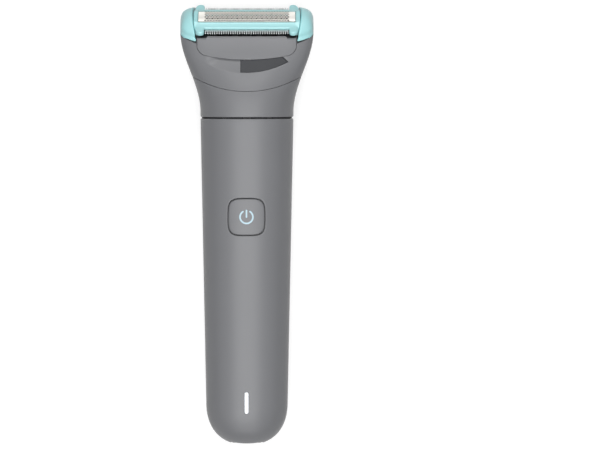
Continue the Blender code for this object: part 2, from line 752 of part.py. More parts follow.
def make_power_train():
    frame_low, frame_top = LEVEL["frame_low"], LEVEL["frame_top"]
    low, high = AT["bulkhead_low"], AT["bulkhead_top"]
    frame = piece(
        "inner_frame",
        block((-FRAME_HALF_WIDTH, low, frame_low), (FRAME_HALF_WIDTH, high, frame_top)),
        BLACK,
        ROOT,
    )
    for foot in (low, AT["bulkhead_mid"], high - BULKHEAD_THICK):
        wall_low = (-BULKHEAD_HALF_WIDTH, foot, frame_top - BULKHEAD_DEPTH - FRAME_THICK)
        wall_high = (BULKHEAD_HALF_WIDTH, foot + BULKHEAD_THICK, frame_top - FRAME_THICK / 2)
        add(frame, block(wall_low, wall_high))
    axis_low = (0, AT["motor_top"], LEVEL["motor"])
    axis_high = (0, high + OVERCUT, LEVEL["motor"])
    cut(frame, rod(axis_low, axis_high, MOTOR_BOSS_RADIUS + SEAT_GAP))

    battery_low = (0, AT["battery_low"], LEVEL["battery"])
    battery_top = (0, AT["battery_top"], LEVEL["battery"])
    cell = rod(battery_low, battery_top, BATTERY_RADIUS, sides=BATTERY_SIDES)
    battery = piece("battery_cell", cell, SLEEVE, ROOT)
    nub_low = (0, AT["battery_top"] - BATTERY_NUB, LEVEL["battery"])
    nub_top = (0, AT["battery_top"] + BATTERY_NUB, LEVEL["battery"])
    add(battery, rod(nub_low, nub_top, BATTERY_NUB_RADIUS))

    can = piece(
        "motor_can",
        along_plate(motor_outline(), AT["motor_low"], AT["motor_top"]),
        ZINC,
        ROOT,
    )
    boss_low = (0, AT["motor_top"] - MOTOR_BOSS, LEVEL["motor"])
    boss_top = (0, AT["motor_top"] + MOTOR_BOSS, LEVEL["motor"])
    add(can, rod(boss_low, boss_top, MOTOR_BOSS_RADIUS))
    bore_low = (0, AT["motor_top"] - SHAFT_IN_MOTOR - SEAT_GAP, LEVEL["motor"])
    cut(can, rod(bore_low, axis_high, SHAFT_RADIUS + PIN_GAP))
    bell = piece(
        "motor_end_bell",
        along_plate(motor_outline(), AT["bell_low"], AT["bell_low"] + BELL_LENGTH),
        BLACK,
        ROOT,
    )

    board_low, board_top = LEVEL["board_low"], LEVEL["board_top"]
    board = piece(
        "circuit_board",
        block((-BOARD_HALF_WIDTH, BOARD_LOW, board_low), (BOARD_HALF_WIDTH, high, board_top)),
        BOARD_GREEN,
        ROOT,
    )
    terminal_along = AT["bell_low"] + BELL_LENGTH / 2
    terminal_low = frame_low - TERMINAL_DEPTH
    for name, side in (("motor_terminal_left", -1), ("motor_terminal_right", 1)):
        sizes = (side * TERMINAL_OFFSET, TERMINAL_HALF, terminal_along, TERMINAL_THICK, terminal_low)
        piece(name, post_block(*sizes), BRASS, ROOT)
        for target in (frame, board, bell):
            cut(target, post_block(*sizes, grow=PIN_GAP))
    for name, along in (("battery_tab_lower", AT["tab_low"]), ("battery_tab_upper", AT["tab_top"])):
        sizes = (0, TAB_HALF_WIDTH, along, TAB_THICK, LEVEL["battery"] - TAB_REACH / 2)
        piece(name, post_block(*sizes), NICKEL, ROOT)
        for target in (frame, board):
            cut(target, post_block(*sizes, grow=PIN_GAP))

    down = Vector((0, 0, -1))
    for name, side in (("frame_screw_left", -1), ("frame_screw_right", 1)):
        seat = Vector((side * boss_across(), FRAME_SCREW_ALONG, frame_top + SEAT_GAP))
        screw(name, seat, down, SCREW_BITE, ROOT)
        cut(frame, screw_hole(seat, seat + down * WIDE / 2))
    for name, along in zip(("board_screw_lower", "board_screw_upper"), BOARD_SCREW_ALONG):
        seat = Vector((0, along, board_top + SEAT_GAP))
        bite = seat.z - frame_low
        screw(name, seat, down, bite, ROOT)
        hole = screw_hole(seat, seat + down * (bite + OVERCUT))
        cut(frame, hole)
        cut(board, screw_hole(seat + Vector((0, 0, OVERCUT)), seat + down * bite))


def make_board_pieces():
    board_top = LEVEL["board_top"]
    base = board_top + SEAT_GAP
    top = LEVEL["switch_top"]
    low_corner = (-SWITCH_HALF, BUTTON_ALONG - SWITCH_HALF, base)
    high_corner = (SWITCH_HALF, BUTTON_ALONG + SWITCH_HALF, top)
    switch = piece("tact_switch", block(low_corner, high_corner), BLACK, ROOT)
    plunger_low = (0, BUTTON_ALONG, top - PLUNGER_HEIGHT / 2)
    plunger_top = (0, BUTTON_ALONG, LEVEL["plunger_top"])
    add(switch, rod(plunger_low, plunger_top, PLUNGER_RADIUS))
    slit_end = SLIT_LOW + SLIT_LENGTH - LED_LENGTH
    for name, along in (("status_led", slit_end), ("button_led", BUTTON_ALONG + BUTTON_LED_OFFSET)):
        low = (-LED_HALF, along - LED_LENGTH / 2, base)
        piece(name, block(low, (LED_HALF, along + LED_LENGTH / 2, base + LED_HEIGHT)), LAMP_WHITE, ROOT)
    foot = base + LED_HEIGHT + SEAT_GAP
    pipe = piece("status_light_pipe", slit_block(0, foot, WIDE), LAMP_WHITE, ROOT)
    add(pipe, slit_block(PIPE_FLANGE, foot, foot + PIPE_FLANGE_THICK))
    keep(pipe, loft(handle_loops(0, HANDLE_TOP)))


def icon_strokes(grow, low, high):
    """Ring with an opening at its upper side, and the bar that stands in it."""
    half = ICON_STROKE / 2 + grow
    gap = ICON_OPENING - grow / ICON_RADIUS
    outer, inner = [], []
    for step in range(ICON_STEPS + 1):
        angle = math.pi / 2 + gap + (2 * math.pi - 2 * gap) * step / ICON_STEPS
        turn = Vector((math.cos(angle), math.sin(angle)))
        outer.append(turn * (ICON_RADIUS + half))
        inner.append(turn * (ICON_RADIUS - half))
    ring = [(x, BUTTON_ALONG + y) for x, y in outer + inner[::-1]]
    bar_top = BUTTON_ALONG + ICON_RADIUS + half
    bar = block((-half, bar_top - ICON_BAR - 2 * grow, low), (half, bar_top, high))
    return plate(ring, low, high), bar


def make_button():
    top, low = LEVEL["flange_top"], LEVEL["flange_low"]
    button = piece("power_button", plate(button_outline(0), low, WIDE), GREY, BUTTON)
    keep(button, loft(handle_loops(0, HANDLE_TOP)))
    add(button, plate(button_outline(FLANGE_LIP), low, top))
    pocket_top = low + ICON_PLATE_THICK + SEAT_GAP
    half = ICON_PLATE_HALF
    lens = piece(
        "icon_lens",
        block((-half, BUTTON_ALONG - half, low), (half, BUTTON_ALONG + half, low + ICON_PLATE_THICK)),
        ICON_BLUE,
        BUTTON,
    )
    reach = low + ICON_PLATE_THICK / 2
    add(lens, *icon_strokes(0, reach, WIDE / 2))
    keep(lens, loft(handle_loops(0, HANDLE_TOP)))
    half += PIN_GAP
    low_corner = (-half, BUTTON_ALONG - half, low - OVERCUT)
    cut(button, block(low_corner, (half, BUTTON_ALONG + half, pocket_top)))
    cut(button, *icon_strokes(PIN_GAP / 2, reach, WIDE / 2))
    piece("button_seal", plate(button_outline(0), LEVEL["seal_low"], LEVEL["seal_top"]), RUBBER, BUTTON)


def finger_block(grow, low, high):
    return block(
        (-FINGER_HALF - grow, low, FINGER_THROUGH - FINGER_HALF - grow),
        (FINGER_HALF + grow, high, FINGER_THROUGH + FINGER_HALF + grow),
    )


def swing_slot(low, high):
    """Opening that the finger swings in."""
    wide = FINGER_HALF + CUTTER_SWING + RUN_GAP
    deep = FINGER_HALF + RUN_GAP
    return block((-wide, low, FINGER_THROUGH - deep), (wide, high, FINGER_THROUGH + deep))


def make_drive():
    motor_axis = Vector((0, 0, LEVEL["motor"]))
    start = Vector((0, AT["motor_top"] - SHAFT_IN_MOTOR, 0))
    shaft_end = Vector((0, AT["cam_top"] - SEAT_GAP - BRIDGE_ROOF, 0))
    piece("motor_shaft", rod(start, shaft_end, SHAFT_RADIUS), STEEL, SPINDLE)
    cam = piece(
        "eccentric_cam",
        rod((0, AT["cam_low"], 0), (0, AT["cam_top"], 0), CAM_RADIUS),
        WHITE_PLASTIC,
        SPINDLE,
    )
    pin_low = (CAM_THROW, AT["cam_top"] - CAM_LENGTH / 4, 0)
    pin_top = (CAM_THROW, AT["cam_top"] + CAM_PIN, 0)
    add(cam, rod(pin_low, pin_top, CAM_PIN_RADIUS))
    cut(cam, rod(start, shaft_end + Vector((0, PIN_GAP, 0)), SHAFT_RADIUS + PIN_GAP))

    low, top = AT["bridge_low"], AT["bridge_top"]
    bridge = piece(
        "drive_bridge",
        block(
            (-BRIDGE_HALF_WIDTH, low, motor_axis.z - BRIDGE_HALF_DEPTH),
            (BRIDGE_HALF_WIDTH, top, motor_axis.z + BRIDGE_HALF_DEPTH),
        ),
        WHITE_PLASTIC,
        BRIDGE,
    )
    window = CAM_THROW + CAM_PIN_RADIUS + RUN_GAP
    cut(
        bridge,
        block(
            (-window - CUTTER_SWING, low - OVERCUT, motor_axis.z - window),
            (window + CUTTER_SWING, low + BRIDGE_POCKET, motor_axis.z + window),
        ),
    )
    add(bridge, finger_block(0, top - BRIDGE_ROOF / 2, FINGER_TOP))

    inset = WALL + SEAT_GAP
    deck_loops = []
    for along, tilt in ((AT["deck_low"], 0.0), (AT["deck_top"], SEAM_TILT)):
        sizes = handle_width(along) - inset, handle_front(along) - inset, REAR_DEPTH - inset
        deck_loops.append(level_loop(along, *sizes, tilt=tilt))
    deck = piece("top_deck", loft(deck_loops), BLACK, ROOT)
    cut(deck, swing_slot(AT["deck_low"] - OVERCUT, AT["deck_top"] + OVERCUT))
    floor = NECK_LOW + NECK_FLOOR
    boot_low = Vector((0, floor + SEAT_GAP, FINGER_THROUGH))
    boot = piece(
        "drive_boot",
        rod(boot_low, boot_low + Vector((0, BOOT_HEIGHT, 0)), BOOT_RADIUS, BOOT_TIP_RADIUS),
        RUBBER,
        BRIDGE,
    )
    cut(boot, finger_block(PIN_GAP / 2, floor - OVERCUT, floor + 2 * BOOT_HEIGHT))
    down = Vector((0, -1, 0))
    bite = NECK_FLOOR + SCREW_BITE
    for name, side in (("neck_screw_left", -1), ("neck_screw_right", 1)):
        seat = Vector((side * NECK_SCREW_ACROSS, floor + SEAT_GAP, 0))
        screw(name, seat, down, bite, ROOT)
        cut(deck, screw_hole(seat, seat + down * (bite + SEAT_GAP)))


def head_solid(inset, crown, low=0.0):
    return loft(head_loops(inset, crown, low), split=True)


def seam_ring(inset, extra):
    """Solid across the seam under the neck, drawn in by inset and longer by extra at each end."""
    sizes = HALF_WIDTH_TOP - inset, FRONT_DEPTH_TOP - inset, REAR_DEPTH - inset
    ends = HANDLE_TOP + GASKET_SPACE - extra, NECK_LOW - GASKET_SPACE + extra
    return loft([level_loop(end, *sizes, tilt=SEAM_TILT) for end in ends])


def make_neck():
    gasket = piece("neck_gasket", seam_ring(GASKET_INSET, 0), RUBBER, ROOT)
    cut(gasket, seam_ring(GASKET_INSET + GASKET_WIDTH, OVERCUT))

    floor = NECK_LOW + NECK_FLOOR
    neck = piece("neck", head_solid(0, False), GREY, ROOT)
    cut(neck, arc_cylinder(ARC_RADIUS), under_rest())
    cut(neck, head_solid(WALL, False, NECK_FLOOR / HEAD_LENGTH))
    spigot = SPIGOT_HALF_WIDTH, SPIGOT_FRONT, SPIGOT_REAR
    bore = [size - SPIGOT_WALL for size in spigot]
    top = NECK_LOW + SPIGOT_RISE
    add(neck, loft([level_loop(NECK_LOW + NECK_FLOOR / 2, *spigot), level_loop(top, *spigot)]))
    cut(neck, loft([level_loop(floor, *bore), level_loop(top + OVERCUT, *bore)]))
    cut(neck, swing_slot(NECK_LOW - OVERCUT, floor + OVERCUT))
    for side in (-1, 1):
        seat = Vector((side * NECK_SCREW_ACROSS, floor + SEAT_GAP, 0))
        cut(neck, screw_hole(seat, seat + Vector((0, -NECK_FLOOR - OVERCUT, 0))))


def under_rest():
    """Everything below the plane that the groomer lies on."""
    return block((-WIDE, -WIDE, -WIDE), (WIDE, LONG, -REST_DEPTH))


def arc_cylinder(radius):
    middle = Vector((0, NECK_LOW + ARC_LOW + ARC_RADIUS, 0))
    through = Vector((0, 0, WIDE))
    return rod(middle - through, middle + through, radius, sides=ARC_SIDES)


def plate_edge(across):
    """Lower edge of the front plate: a shallow curve with rounded corners."""
    share = abs(across) / PLATE_HALF_WIDTH
    corner = max(0.0, (abs(across) - PLATE_HALF_WIDTH + PLATE_CORNER) / PLATE_CORNER)
    rise = PLATE_SAG * share**2 + PLATE_CORNER * (1 - math.sqrt(1 - min(corner, 1.0) ** 2))
    return NECK_LOW + PLATE_LOW + rise


def plate_outline(grow):
    top = PIVOT_ALONG + CROWN_HEIGHT
    scale = (PLATE_HALF_WIDTH + grow) / PLATE_HALF_WIDTH
    points = []
    for step in range(PLATE_STEPS + 1):
        across = PLATE_HALF_WIDTH * math.sin(math.pi * (step / PLATE_STEPS - 0.5))
        points.append((across * scale, plate_edge(across) - grow))
    return points + [(PLATE_HALF_WIDTH * scale, top), (-PLATE_HALF_WIDTH * scale, top)]


def recess_outline(left, right, shrink, drop):
    """Crescent from left to right, between a line drop under the plate's lower edge and a deeper arc."""
    low = NECK_LOW + PLATE_LOW - RECESS_DROP
    end = plate_edge(RECESS_HALF_WIDTH) - RECESS_END
    corner = RECESS_HALF_WIDTH - RECESS_SLANT
    top_left = left + RECESS_SLANT if left < -corner else left
    top_right = right - RECESS_SLANT if right > corner else right
    under, over = [], []
    for step in range(RECESS_STEPS + 1):
        across = left + (right - left) * step / RECESS_STEPS
        share = across / RECESS_HALF_WIDTH
        under.append((across, low + (end - low) * share**2 + shrink))
        across = top_left + (top_right - top_left) * step / RECESS_STEPS
        over.append((across, plate_edge(across) - drop))
    return under + over[::-1]


def skin_slab(outline, depth_low, depth_high):
    """Part of the head's wall inside an outline seen from the front, between two depths under the skin."""
    slab = tool(plate(outline, 0, WIDE), ROOT)
    combine(slab, tool(head_solid(depth_low, True), ROOT), "INTERSECT")
    combine(slab, tool(head_solid(depth_high, True), ROOT), "DIFFERENCE")
    return slab


def cap_zone(side, grow):
    """Space of one cap: outside its tips and above a plane that falls to the front and climbs to the side."""
    slope = math.tan(CAP_TILT)
    loops = []
    for across in (CAP_TIP - grow, WIDE):
        middle = PIVOT_ALONG - CAP_DROP - grow + CAP_RISE * (across - CAP_TIP)
        corners = (middle + slope * WIDE, -WIDE), (middle - slope * WIDE, WIDE), (LONG, WIDE), (LONG, -WIDE)
        loops.append([Vector((side * across, along, through)) for along, through in corners])
    return loft(loops)


def trough():
    """Space that the cartridge rocks in, over the front and rear walls and between the arms."""
    half = END_HALF + ARM_GAP / 2
    mesh = block((-half, -WIDE, TROUGH_LEVEL), (half, WIDE, WIDE))
    mesh.transform(CARTRIDGE_PLACE)
    return mesh


def over_plate():
    """Spaces above the front plate, which keeps a thin lip in front of the comb and between the ears."""
    lip = BAR_OUTER + SEAT_GAP / 2 + COMB_DEPTH + ARM_GAP
    half = EAR_INNER - EAR_LENGTH / 2
    corners = (
        ((-WIDE, -lip, TROUGH_LEVEL), (WIDE, WIDE, WIDE)),
        ((-WIDE, -WIDE, TROUGH_LEVEL), (-half, WIDE, WIDE)),
        ((half, -WIDE, TROUGH_LEVEL), (WIDE, WIDE, WIDE)),
        ((-WIDE, -WIDE, LIP_TOP), (WIDE, WIDE, WIDE)),
    )
    meshes = [block(low, high) for low, high in corners]
    for mesh in meshes:
        mesh.transform(CARTRIDGE_PLACE)
    return meshes


def body_room():
    """Space round the lower body of the cartridge and the carriage's arms, between the arms of the head."""
    half = END_HALF + ARM_GAP / 2
    deep = ARM_INNER + ARM_THICK + SEAT_GAP
    mesh = block((-half, -deep, CARRIAGE_LOW - ROCK_GAP), (half, deep, WIDE))
    mesh.transform(CARTRIDGE_PLACE)
    return mesh


def dome(side, radius):
    mesh = ball((-side * DOME_BACK, 0, 0), radius)
    mesh.transform(CARTRIDGE_PLACE)
    return mesh


def make_head():
    half = END_HALF + ARM_GAP / 2
    housing = piece("head_housing", head_solid(0, True), GREY, HEAD)
    keep(housing, arc_cylinder(ARC_RADIUS - SEAT_GAP))
    cut(housing, under_rest())
    for side in (-1, 1):
        cut(housing, cap_zone(side, SEAT_GAP))
    cut(housing, trough(), body_room())
    cavity = tool(head_solid(HEAD_WALL, False), ROOT)
    combine(cavity, tool(block((-half, 0, -WIDE), (half, LONG, WIDE)), ROOT), "INTERSECT")
    combine(housing, cavity, "DIFFERENCE")
    cut(housing, plate(plate_outline(PLATE_GAP), PIVOT_RISE, WIDE))
    recess = recess_outline(-RECESS_HALF_WIDTH, RECESS_HALF_WIDTH, 0, 0)
    combine(housing, skin_slab(recess, -RECESS_DEPTH, RECESS_DEPTH), "DIFFERENCE")
    hole = recess_outline(CATCH_LEFT - SEAT_GAP, RECESS_HALF_WIDTH - SEAT_GAP, SEAT_GAP, 0)
    cut(housing, plate(hole, PIVOT_RISE, WIDE))

    front = piece("front_plate", plate(plate_outline(0), PIVOT_RISE, WIDE), GREY, HEAD)
    keep(front, head_solid(0, True))
    cut(front, head_solid(HEAD_WALL, True), *over_plate())

    outline = recess_outline(CATCH_LEFT, RECESS_HALF_WIDTH - 3 * SEAT_GAP, 2 * SEAT_GAP, SEAT_GAP)
    catch = piece("release_catch", plate(outline, PIVOT_RISE, WIDE), DARK_GREY, CATCH)
    keep(catch, head_solid(CATCH_FACE, True))
    cut(catch, head_solid(CATCH_FACE + CATCH_THICK, True))

    for name, side in (("left", -1), ("right", 1)):
        cap = piece("side_cap_" + name, head_solid(0, True), TEAL, HEAD)
        keep(cap, cap_zone(side, 0))
        cut(cap, dome(side, CAP_DOME))
        inner = Vector((side * (FRAME_HALF - PIN_IN_FRAME), 0, 0))
        outer = inner + Vector((side * PIN_LENGTH, 0, 0))
        pin = rod(inner, outer, PIN_RADIUS)
        pin.transform(CARTRIDGE_PLACE)
        piece("pivot_pin_" + name, pin, STEEL, HEAD)
        hole = rod(inner, outer + Vector((side * SEAT_GAP, 0, 0)), PIN_RADIUS + PIN_GAP)
        hole.transform(CARTRIDGE_PLACE)
        cut(cap, hole)


def foil_arc(radius_change, half_depth):
    radius = FOIL_RADIUS + radius_change
    centre = FOIL_TOP - FOIL_RADIUS
    points = []
    for step in range(FOIL_STEPS + 1):
        depth = half_depth * (2 * step / FOIL_STEPS - 1)
        points.append((depth, centre + math.sqrt(radius**2 - depth**2)))
    return points


def make_frame():
    shoulder = FOIL_TOP - FOIL_RISE
    under = shoulder - BAR_SLOPE - BAR_THICK
    half_outline = [
        (BODY_OUTER, FRAME_BODY_LOW),
        (BODY_OUTER, under + BAR_DRAFT),
        (BAR_OUTER, under),
        (BAR_OUTER, shoulder - BAR_SLOPE),
        (APERTURE_HALF - SEAT_GAP, shoulder + SEAT_GAP * BAR_SLOPE / BAR_WIDTH),
    ]
    outline = half_outline + [(-y, z) for y, z in reversed(half_outline)]
    frame = piece("foil_frame", plate(outline, -END_HALF, END_HALF, LYING_ACROSS), TEAL, CARTRIDGE)
    for side in (-1, 1):
        sides = sorted((side * EAR_INNER, side * (END_HALF + OVERCUT)))
        low_corner = (sides[0], -EAR_HALF_DEPTH, EAR_LOW)
        add(frame, block(low_corner, (sides[1], EAR_HALF_DEPTH, EAR_TOP), EAR_BEVEL))
    for side in (-1, 1):
        keep(frame, ball((-side * DOME_BACK, 0, 0), CAP_DOME - RUN_GAP))
    half = FOIL_HALF + SEAT_GAP
    cut(frame, block((-half, -APERTURE_HALF, SEAT_LEVEL), (half, APERTURE_HALF, WIDE)))
    half = FRAME_HALF - CAVITY_END
    cut(frame, block((-half, -APERTURE_HALF, -WIDE), (half, APERTURE_HALF, WIDE)))
    for side in (-1, 1):
        inner = Vector((side * (FRAME_HALF - PIN_IN_FRAME - SEAT_GAP), 0, 0))
        cut(frame, rod(inner, Vector((side * WIDE, 0, 0)), PIN_RADIUS + PIN_GAP))

    top = foil_arc(0, FOIL_HALF_DEPTH)
    under_arc = foil_arc(-FOIL_THICK, FOIL_HALF_DEPTH - FOIL_THICK)
    foot = shoulder - FOIL_LEG
    inside = FOIL_HALF_DEPTH - FOIL_THICK
    outer = [(-FOIL_HALF_DEPTH, foot)] + top + [(FOIL_HALF_DEPTH, foot)]
    inner = [(-inside, foot)] + under_arc + [(inside, foot)]
    sheet = plate(outer + inner[::-1], -FOIL_HALF, FOIL_HALF, LYING_ACROSS)
    piece("foil", sheet, FOIL_STEEL, CARTRIDGE)


def comb_outline(side, half_length, root, tip, spine, teeth):
    """Straight spine with square teeth that point away from the foil."""
    points = [(-half_length, root), (half_length, root)]
    pitch = 2 * half_length / (2 * teeth - 1)
    for step in range(2 * teeth):
        x = half_length - pitch * step
        reach = (root + spine, tip) if step % 2 else (tip, root + spine)
        points += [(x, reach[1]), (x, reach[0])]
    return [(x, side * y) for x, y in points[:2] + points[3:-1]]


def make_trimmers():
    guard_half = EAR_INNER - SEAT_GAP
    root = BAR_OUTER + SEAT_GAP / 2
    blade_half = guard_half - CUTTER_SWING
    blade_top = COMB_LEVEL - BLADE_GAP
    for name, side in (("front", -1), ("rear", 1)):
        outline = comb_outline(side, guard_half, root, root + COMB_DEPTH, COMB_SPINE, GUARD_TEETH)
        guard = plate(outline, COMB_LEVEL, COMB_LEVEL + COMB_THICK)
        piece("trimmer_guard_" + name, guard, COMB_STEEL, CARTRIDGE)
        tip = root + COMB_DEPTH - BLADE_INSET
        spine = BLADE_ROOT + COMB_SPINE
        outline = comb_outline(side, blade_half, root - BLADE_ROOT, tip, spine, BLADE_TEETH)
        blade = plate(outline, blade_top - COMB_THICK, blade_top)
        piece("trimmer_blade_" + name, blade, COMB_STEEL, CARTRIDGE)


def make_cutters():
    half = FRAME_HALF - CAVITY_END - SEAT_GAP - CUTTER_SWING
    top = FOIL_TOP
    pitch = 2 * half / (2 * BLADE_COUNT - 1)
    outline = [(half, CUTTER_BASE), (-half, CUTTER_BASE)]
    for step in range(2 * BLADE_COUNT):
        x = -half + pitch * step
        ends = (CUTTER_BASE + CUTTER_ROOT, top) if step % 2 == 0 else (top, CUTTER_BASE + CUTTER_ROOT)
        outline += [(x, ends[0]), (x, ends[1])]
    outline = outline[:2] + outline[3:-1]
    cutter = piece(
        "foil_cutter",
        plate(outline, -CUTTER_HALF_DEPTH, CUTTER_HALF_DEPTH, LYING_ALONG),
        STEEL,
        CARTRIDGE,
    )
    centre = FOIL_TOP - FOIL_RADIUS
    axis = (-WIDE, 0, centre), (WIDE, 0, centre)
    keep(cutter, rod(*axis, FOIL_RADIUS - FOIL_THICK - CUTTER_GAP, sides=CUTTER_SIDES))

    low, high = CARRIAGE_LOW, CARRIAGE_LOW + CARRIAGE_THICK
    low_corner = (-CARRIAGE_HALF_LENGTH, -CARRIAGE_HALF_DEPTH, low)
    high_corner = (CARRIAGE_HALF_LENGTH, CARRIAGE_HALF_DEPTH, high)
    carriage = piece("cutter_carriage", block(low_corner, high_corner), BLACK, CARTRIDGE)
    arm_outer = ARM_INNER + ARM_THICK
    arm_top = COMB_LEVEL - BLADE_GAP - COMB_THICK - SEAT_GAP
    for side in (-1, 1):
        middle = side * SPRING_ACROSS
        ends = middle - ARM_LENGTH / 2, middle + ARM_LENGTH / 2
        add(carriage, block((ends[0], -arm_outer, low), (ends[1], arm_outer, low + ARM_FLOOR)))
        for rear in (-1, 1):
            walls = sorted((rear * ARM_INNER, rear * arm_outer))
            add(carriage, block((ends[0], walls[0], low + ARM_FLOOR / 2), (ends[1], walls[1], arm_top)))
        slot = FINGER_HALF + SEAT_GAP
        prong = sorted((side * slot, side * (slot + FORK_PRONG)))
        low_corner = (prong[0], -FORK_HALF_DEPTH, low - FORK_LENGTH)
        add(carriage, block(low_corner, (prong[1], FORK_HALF_DEPTH, low + ARM_FLOOR)))

    for name, side in (("left", -1), ("right", 1)):
        coil = spring_mesh(side * SPRING_ACROSS, high + PIN_GAP, CUTTER_BASE - PIN_GAP)
        piece("cutter_spring_" + name, coil, STEEL, CARTRIDGE)


def spring_mesh(across, low, high):
    """Coil of SPRING_TURNS turns between two levels."""
    curve = bpy.data.curves.new("coil", "CURVE")
    curve.dimensions = "3D"
    curve.bevel_depth = SPRING_WIRE
    curve.bevel_resolution = 1
    curve.use_fill_caps = True
    count = SPRING_TURNS * SPRING_POINTS
    points = []
    for step in range(count + 1):
        angle = 2 * math.pi * step / SPRING_POINTS
        x, y = SPRING_RADIUS * math.cos(angle), SPRING_RADIUS * math.sin(angle)
        points.append((across + x, y, low + SPRING_WIRE + (high - low - 2 * SPRING_WIRE) * step / count))
    spline_of(curve, points, False)
    return mesh_of(curve_mesh(curve, "coil"), "coil")


clear_scene()
PARTS = collection("body_groomer")
CUTTERS = collection("cutters")

GREY = material("satin_grey", (0.27, 0.275, 0.29), 0.45)
DARK_GREY = material("dark_grey", (0.09, 0.09, 0.1), 0.5)
TEAL = material("teal", (0.33, 0.66, 0.68), 0.4)
BLACK = material("black", (0.02, 0.02, 0.022), 0.5)
RUBBER = material("rubber", (0.03, 0.03, 0.03), 0.8)
STEEL = material("steel", (0.6, 0.6, 0.6), 0.3, 1.0)
FOIL_STEEL = material("foil_steel", (0.62, 0.61, 0.56), 0.3, 1.0)
COMB_STEEL = material("comb_steel", (0.7, 0.75, 0.75), 0.35, 1.0)
ZINC = material("zinc", (0.5, 0.5, 0.5), 0.4, 1.0)
BRASS = material("brass", (0.7, 0.52, 0.24), 0.3, 1.0)
NICKEL = material("nickel", (0.65, 0.62, 0.56), 0.35, 1.0)
SLEEVE = material("battery_sleeve", (0.05, 0.2, 0.16), 0.4)
BOARD_GREEN = material("circuit_green", (0.02, 0.14, 0.06), 0.5)
LAMP_WHITE = material("lamp_white", (0.95, 0.96, 0.98), 0.3)
ICON_BLUE = material("icon_blue", (0.45, 0.6, 0.68), 0.4)
WHITE_PLASTIC = material("white_plastic", (0.8, 0.8, 0.78), 0.5)

LEVEL = build_levels()
REAR_DEPTH = BATTERY_RADIUS - LEVEL["battery"] + CELL_SPACE + WALL
REST_DEPTH = REAR_DEPTH - REST_CUT
AT = build_stations()
FINGER_THROUGH = PIVOT_RISE - FINGER_REACH * math.sin(HEAD_TILT)
FINGER_TOP = PIVOT_ALONG + (
    CARRIAGE_LOW - SEAT_GAP - RUN_GAP - (FINGER_THROUGH + FINGER_HALF - PIVOT_RISE) * math.sin(HEAD_TILT)
) / math.cos(HEAD_TILT)

CATCH_ALONG = NECK_LOW + PLATE_LOW - RECESS_DROP / 2
CATCH_ACROSS = (CATCH_LEFT + RECESS_HALF_WIDTH) / 2

ROOT = empty("groomer", None, Matrix.Translation((0, -LENGTH_MIDDLE, REST_DEPTH)))
SPINDLE = empty("spindle_axis", ROOT, Matrix.Translation((0, 0, LEVEL["motor"])))
CARTRIDGE = empty("cartridge_axis", ROOT, CARTRIDGE_PLACE)
BUTTON = empty("button_axis", ROOT, Matrix.Translation((0, BUTTON_ALONG, LEVEL["flange_top"])))
BRIDGE = empty("bridge_axis", ROOT, Matrix.Translation((0, AT["bridge_low"], LEVEL["motor"])))
HEAD = empty("head_axis", ROOT, Matrix.Translation((0, NECK_LOW + ARC_LOW, 0)))
CATCH = empty("catch_axis", ROOT, Matrix.Translation((CATCH_ACROSS, CATCH_ALONG, FRONT_DEPTH_TOP)))
SLIDES = (BUTTON, BRIDGE, HEAD, CATCH)

make_shells()
make_socket()
make_power_train()
make_board_pieces()
make_button()
make_drive()
make_neck()
make_head()
make_frame()
make_trimmers()
make_cutters()
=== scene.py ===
import json
import math

import bpy
import numpy as np
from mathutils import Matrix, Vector


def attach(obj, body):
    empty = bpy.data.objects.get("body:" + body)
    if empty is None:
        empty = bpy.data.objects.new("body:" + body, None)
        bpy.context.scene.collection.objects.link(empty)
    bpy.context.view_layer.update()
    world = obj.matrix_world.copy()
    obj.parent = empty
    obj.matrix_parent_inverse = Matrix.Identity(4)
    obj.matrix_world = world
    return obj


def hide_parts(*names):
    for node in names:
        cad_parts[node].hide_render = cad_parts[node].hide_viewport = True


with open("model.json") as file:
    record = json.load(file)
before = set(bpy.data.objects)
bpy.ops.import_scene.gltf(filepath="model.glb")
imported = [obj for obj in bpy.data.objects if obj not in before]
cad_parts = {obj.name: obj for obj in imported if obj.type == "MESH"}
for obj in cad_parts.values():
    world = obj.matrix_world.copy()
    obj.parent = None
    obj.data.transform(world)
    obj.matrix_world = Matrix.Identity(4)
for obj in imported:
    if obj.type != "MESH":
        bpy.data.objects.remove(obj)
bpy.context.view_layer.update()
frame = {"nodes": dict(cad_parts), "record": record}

# Lengths are in mm in the groomer's own frame: across, along from the charging end, through to the front.
place = {"along": 88.311, "rest": 14.2, "smoothAngle": math.radians(34), "far": 60.0}
slotOf = {row["node"]: row["material_slot"] for row in frame["record"]["subparts"]}
sides = ((-1, "left"), (1, "right"))


def toWorld(points):
    # own frame in mm to the part's frame in metres
    return (np.asarray(points, float) + (0, -place["along"], place["rest"])) * 0.001


def smoothStep(share):
    # 0 to 1 with level ends: three squares of the share less two cubes
    share = np.clip(share, 0, 1)
    return share * share * (3 - 2 * share)


def mix(low, high, share):
    # straight blend from low to high
    return low + (high - low) * share


def fullTurn(count):
    # evenly spaced angles once round, without the closing one
    return np.linspace(0, 2 * math.pi, count, endpoint=False)


def unit(vectors):
    # each vector over its own length
    return vectors / np.maximum(np.linalg.norm(vectors, axis=-1, keepdims=True), 1e-12)


def atLevel(flat, level):
    # one more coordinate, the same for all points
    return np.column_stack([flat, np.full(len(flat), level)])


def superCurve(angle, power):
    # superellipse of half sizes 1: cos and sin raised to 2 / power, with their signs
    c, s = np.cos(angle), np.sin(angle)
    return np.sign(c) * np.abs(c) ** (2 / power), np.sign(s) * np.abs(s) ** (2 / power)


def roundSteps(radius, count=5):
    # quarter round at an edge: distance from the edge and how far the skin has dropped there
    turn = np.linspace(0, math.pi / 2, count)
    return radius * (1 - np.cos(turn)), radius * (1 - np.sin(turn))


